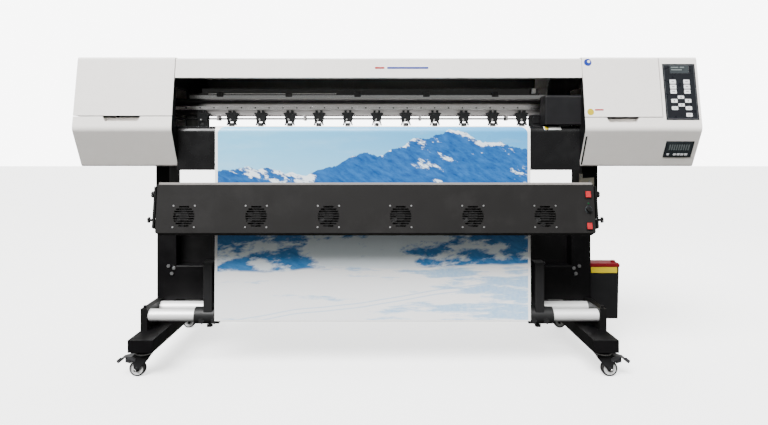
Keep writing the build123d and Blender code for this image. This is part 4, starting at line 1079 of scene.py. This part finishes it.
# ------------------------------------------------------------------ floor, lights, camera
def floor():
    p = Paint("floor_pale", (0.90, 0.90, 0.895), 0.6, Specular_IOR_Level=0.1)
    p.put((1.0, 1.0, 1.0), p.shader.inputs["Emission Color"])
    p.shader.inputs["Emission Strength"].default_value = 1.6
    p.rough(p.spread(p.noise(3, 3), 0.3, 0.7, 0.5, 0.65))
    mesh = bpy.data.meshes.new("floor")
    size = 30.0
    mesh.from_pydata(
        [(-size, -size, 0), (size, -size, 0), (size, size, 0), (-size, size, 0)],
        [],
        [(0, 1, 2, 3)],
    )
    mesh.materials.append(p.material)
    ground = bpy.data.objects.new("floor", mesh)
    SCENE.collection.objects.link(ground)
    ground.visible_diffuse = False
    ground.visible_glossy = False


def area_light(name, place, target, width, height, power, colour=(1, 1, 1)):
    data = bpy.data.lights.new(name, "AREA")
    data.shape = "RECTANGLE"
    data.size, data.size_y = width, height
    data.energy = power
    data.color = colour
    lamp = bpy.data.objects.new(name, data)
    lamp.location = place
    lamp.rotation_euler = (Vector(target) - Vector(place)).to_track_quat("-Z", "Y").to_euler()
    SCENE.collection.objects.link(lamp)


floor()
world = bpy.data.worlds.new("studio")
world.use_nodes = True
tree = world.node_tree
ambient = tree.nodes["Background"]
direction = tree.nodes.new("ShaderNodeTexCoord")
parts = tree.nodes.new("ShaderNodeSeparateXYZ")
tree.links.new(direction.outputs["Generated"], parts.inputs[0])
ramp = tree.nodes.new("ShaderNodeMapRange")
ramp.inputs["From Min"].default_value = -0.10
ramp.inputs["From Max"].default_value = 0.65
ramp.inputs["To Min"].default_value = 0.10
ramp.inputs["To Max"].default_value = 1.05
tree.links.new(parts.outputs[2], ramp.inputs["Value"])
tree.links.new(ramp.outputs[0], ambient.inputs["Strength"])
ambient.inputs["Color"].default_value = (1.0, 1.0, 0.955, 1)
backdrop = tree.nodes.new("ShaderNodeBackground")
backdrop.inputs["Color"].default_value = (1.0, 1.0, 1.0, 1)
backdrop.inputs["Strength"].default_value = 8.0
choice = tree.nodes.new("ShaderNodeMixShader")
seen = tree.nodes.new("ShaderNodeLightPath")
tree.links.new(seen.outputs["Is Camera Ray"], choice.inputs[0])
tree.links.new(ambient.outputs[0], choice.inputs[1])
tree.links.new(backdrop.outputs[0], choice.inputs[2])
tree.links.new(choice.outputs[0], tree.nodes["World Output"].inputs["Surface"])
SCENE.world = world
sun_data = bpy.data.lights.new("sun", "SUN")
sun_data.energy = 10.0
sun_data.angle = math.radians(35)
sun = bpy.data.objects.new("sun", sun_data)
sun.rotation_euler = (-Vector((-0.28, -0.62, 0.80))).to_track_quat("-Z", "Y").to_euler()
SCENE.collection.objects.link(sun)
area_light("front_left", (-2.2, -3.6, 3.8), (-0.2, 0, 0.8), 2.6, 1.8, 30)
area_light("back_top", (0.5, 3.0, 3.2), (0, 0, 0.9), 3.0, 2.0, 90)

camera_data = bpy.data.cameras.new("camera")
camera_data.sensor_width = 36.0
camera_data.lens = 584.0 / 768.0 * 36.0
FRAME_WIDTH = 768.0
SHIFT_RIGHT, SHIFT_DOWN = 6.0, 62.5
camera_data.shift_x = SHIFT_RIGHT / FRAME_WIDTH
camera_data.shift_y = -SHIFT_DOWN / FRAME_WIDTH
camera = bpy.data.objects.new("camera", camera_data)
CAMERA_AT = (-0.037, -2.640, 0.906)
camera.location = CAMERA_AT
camera.rotation_euler = (math.pi / 2, 0, 0)
SCENE.collection.objects.link(camera)
SCENE.camera = camera
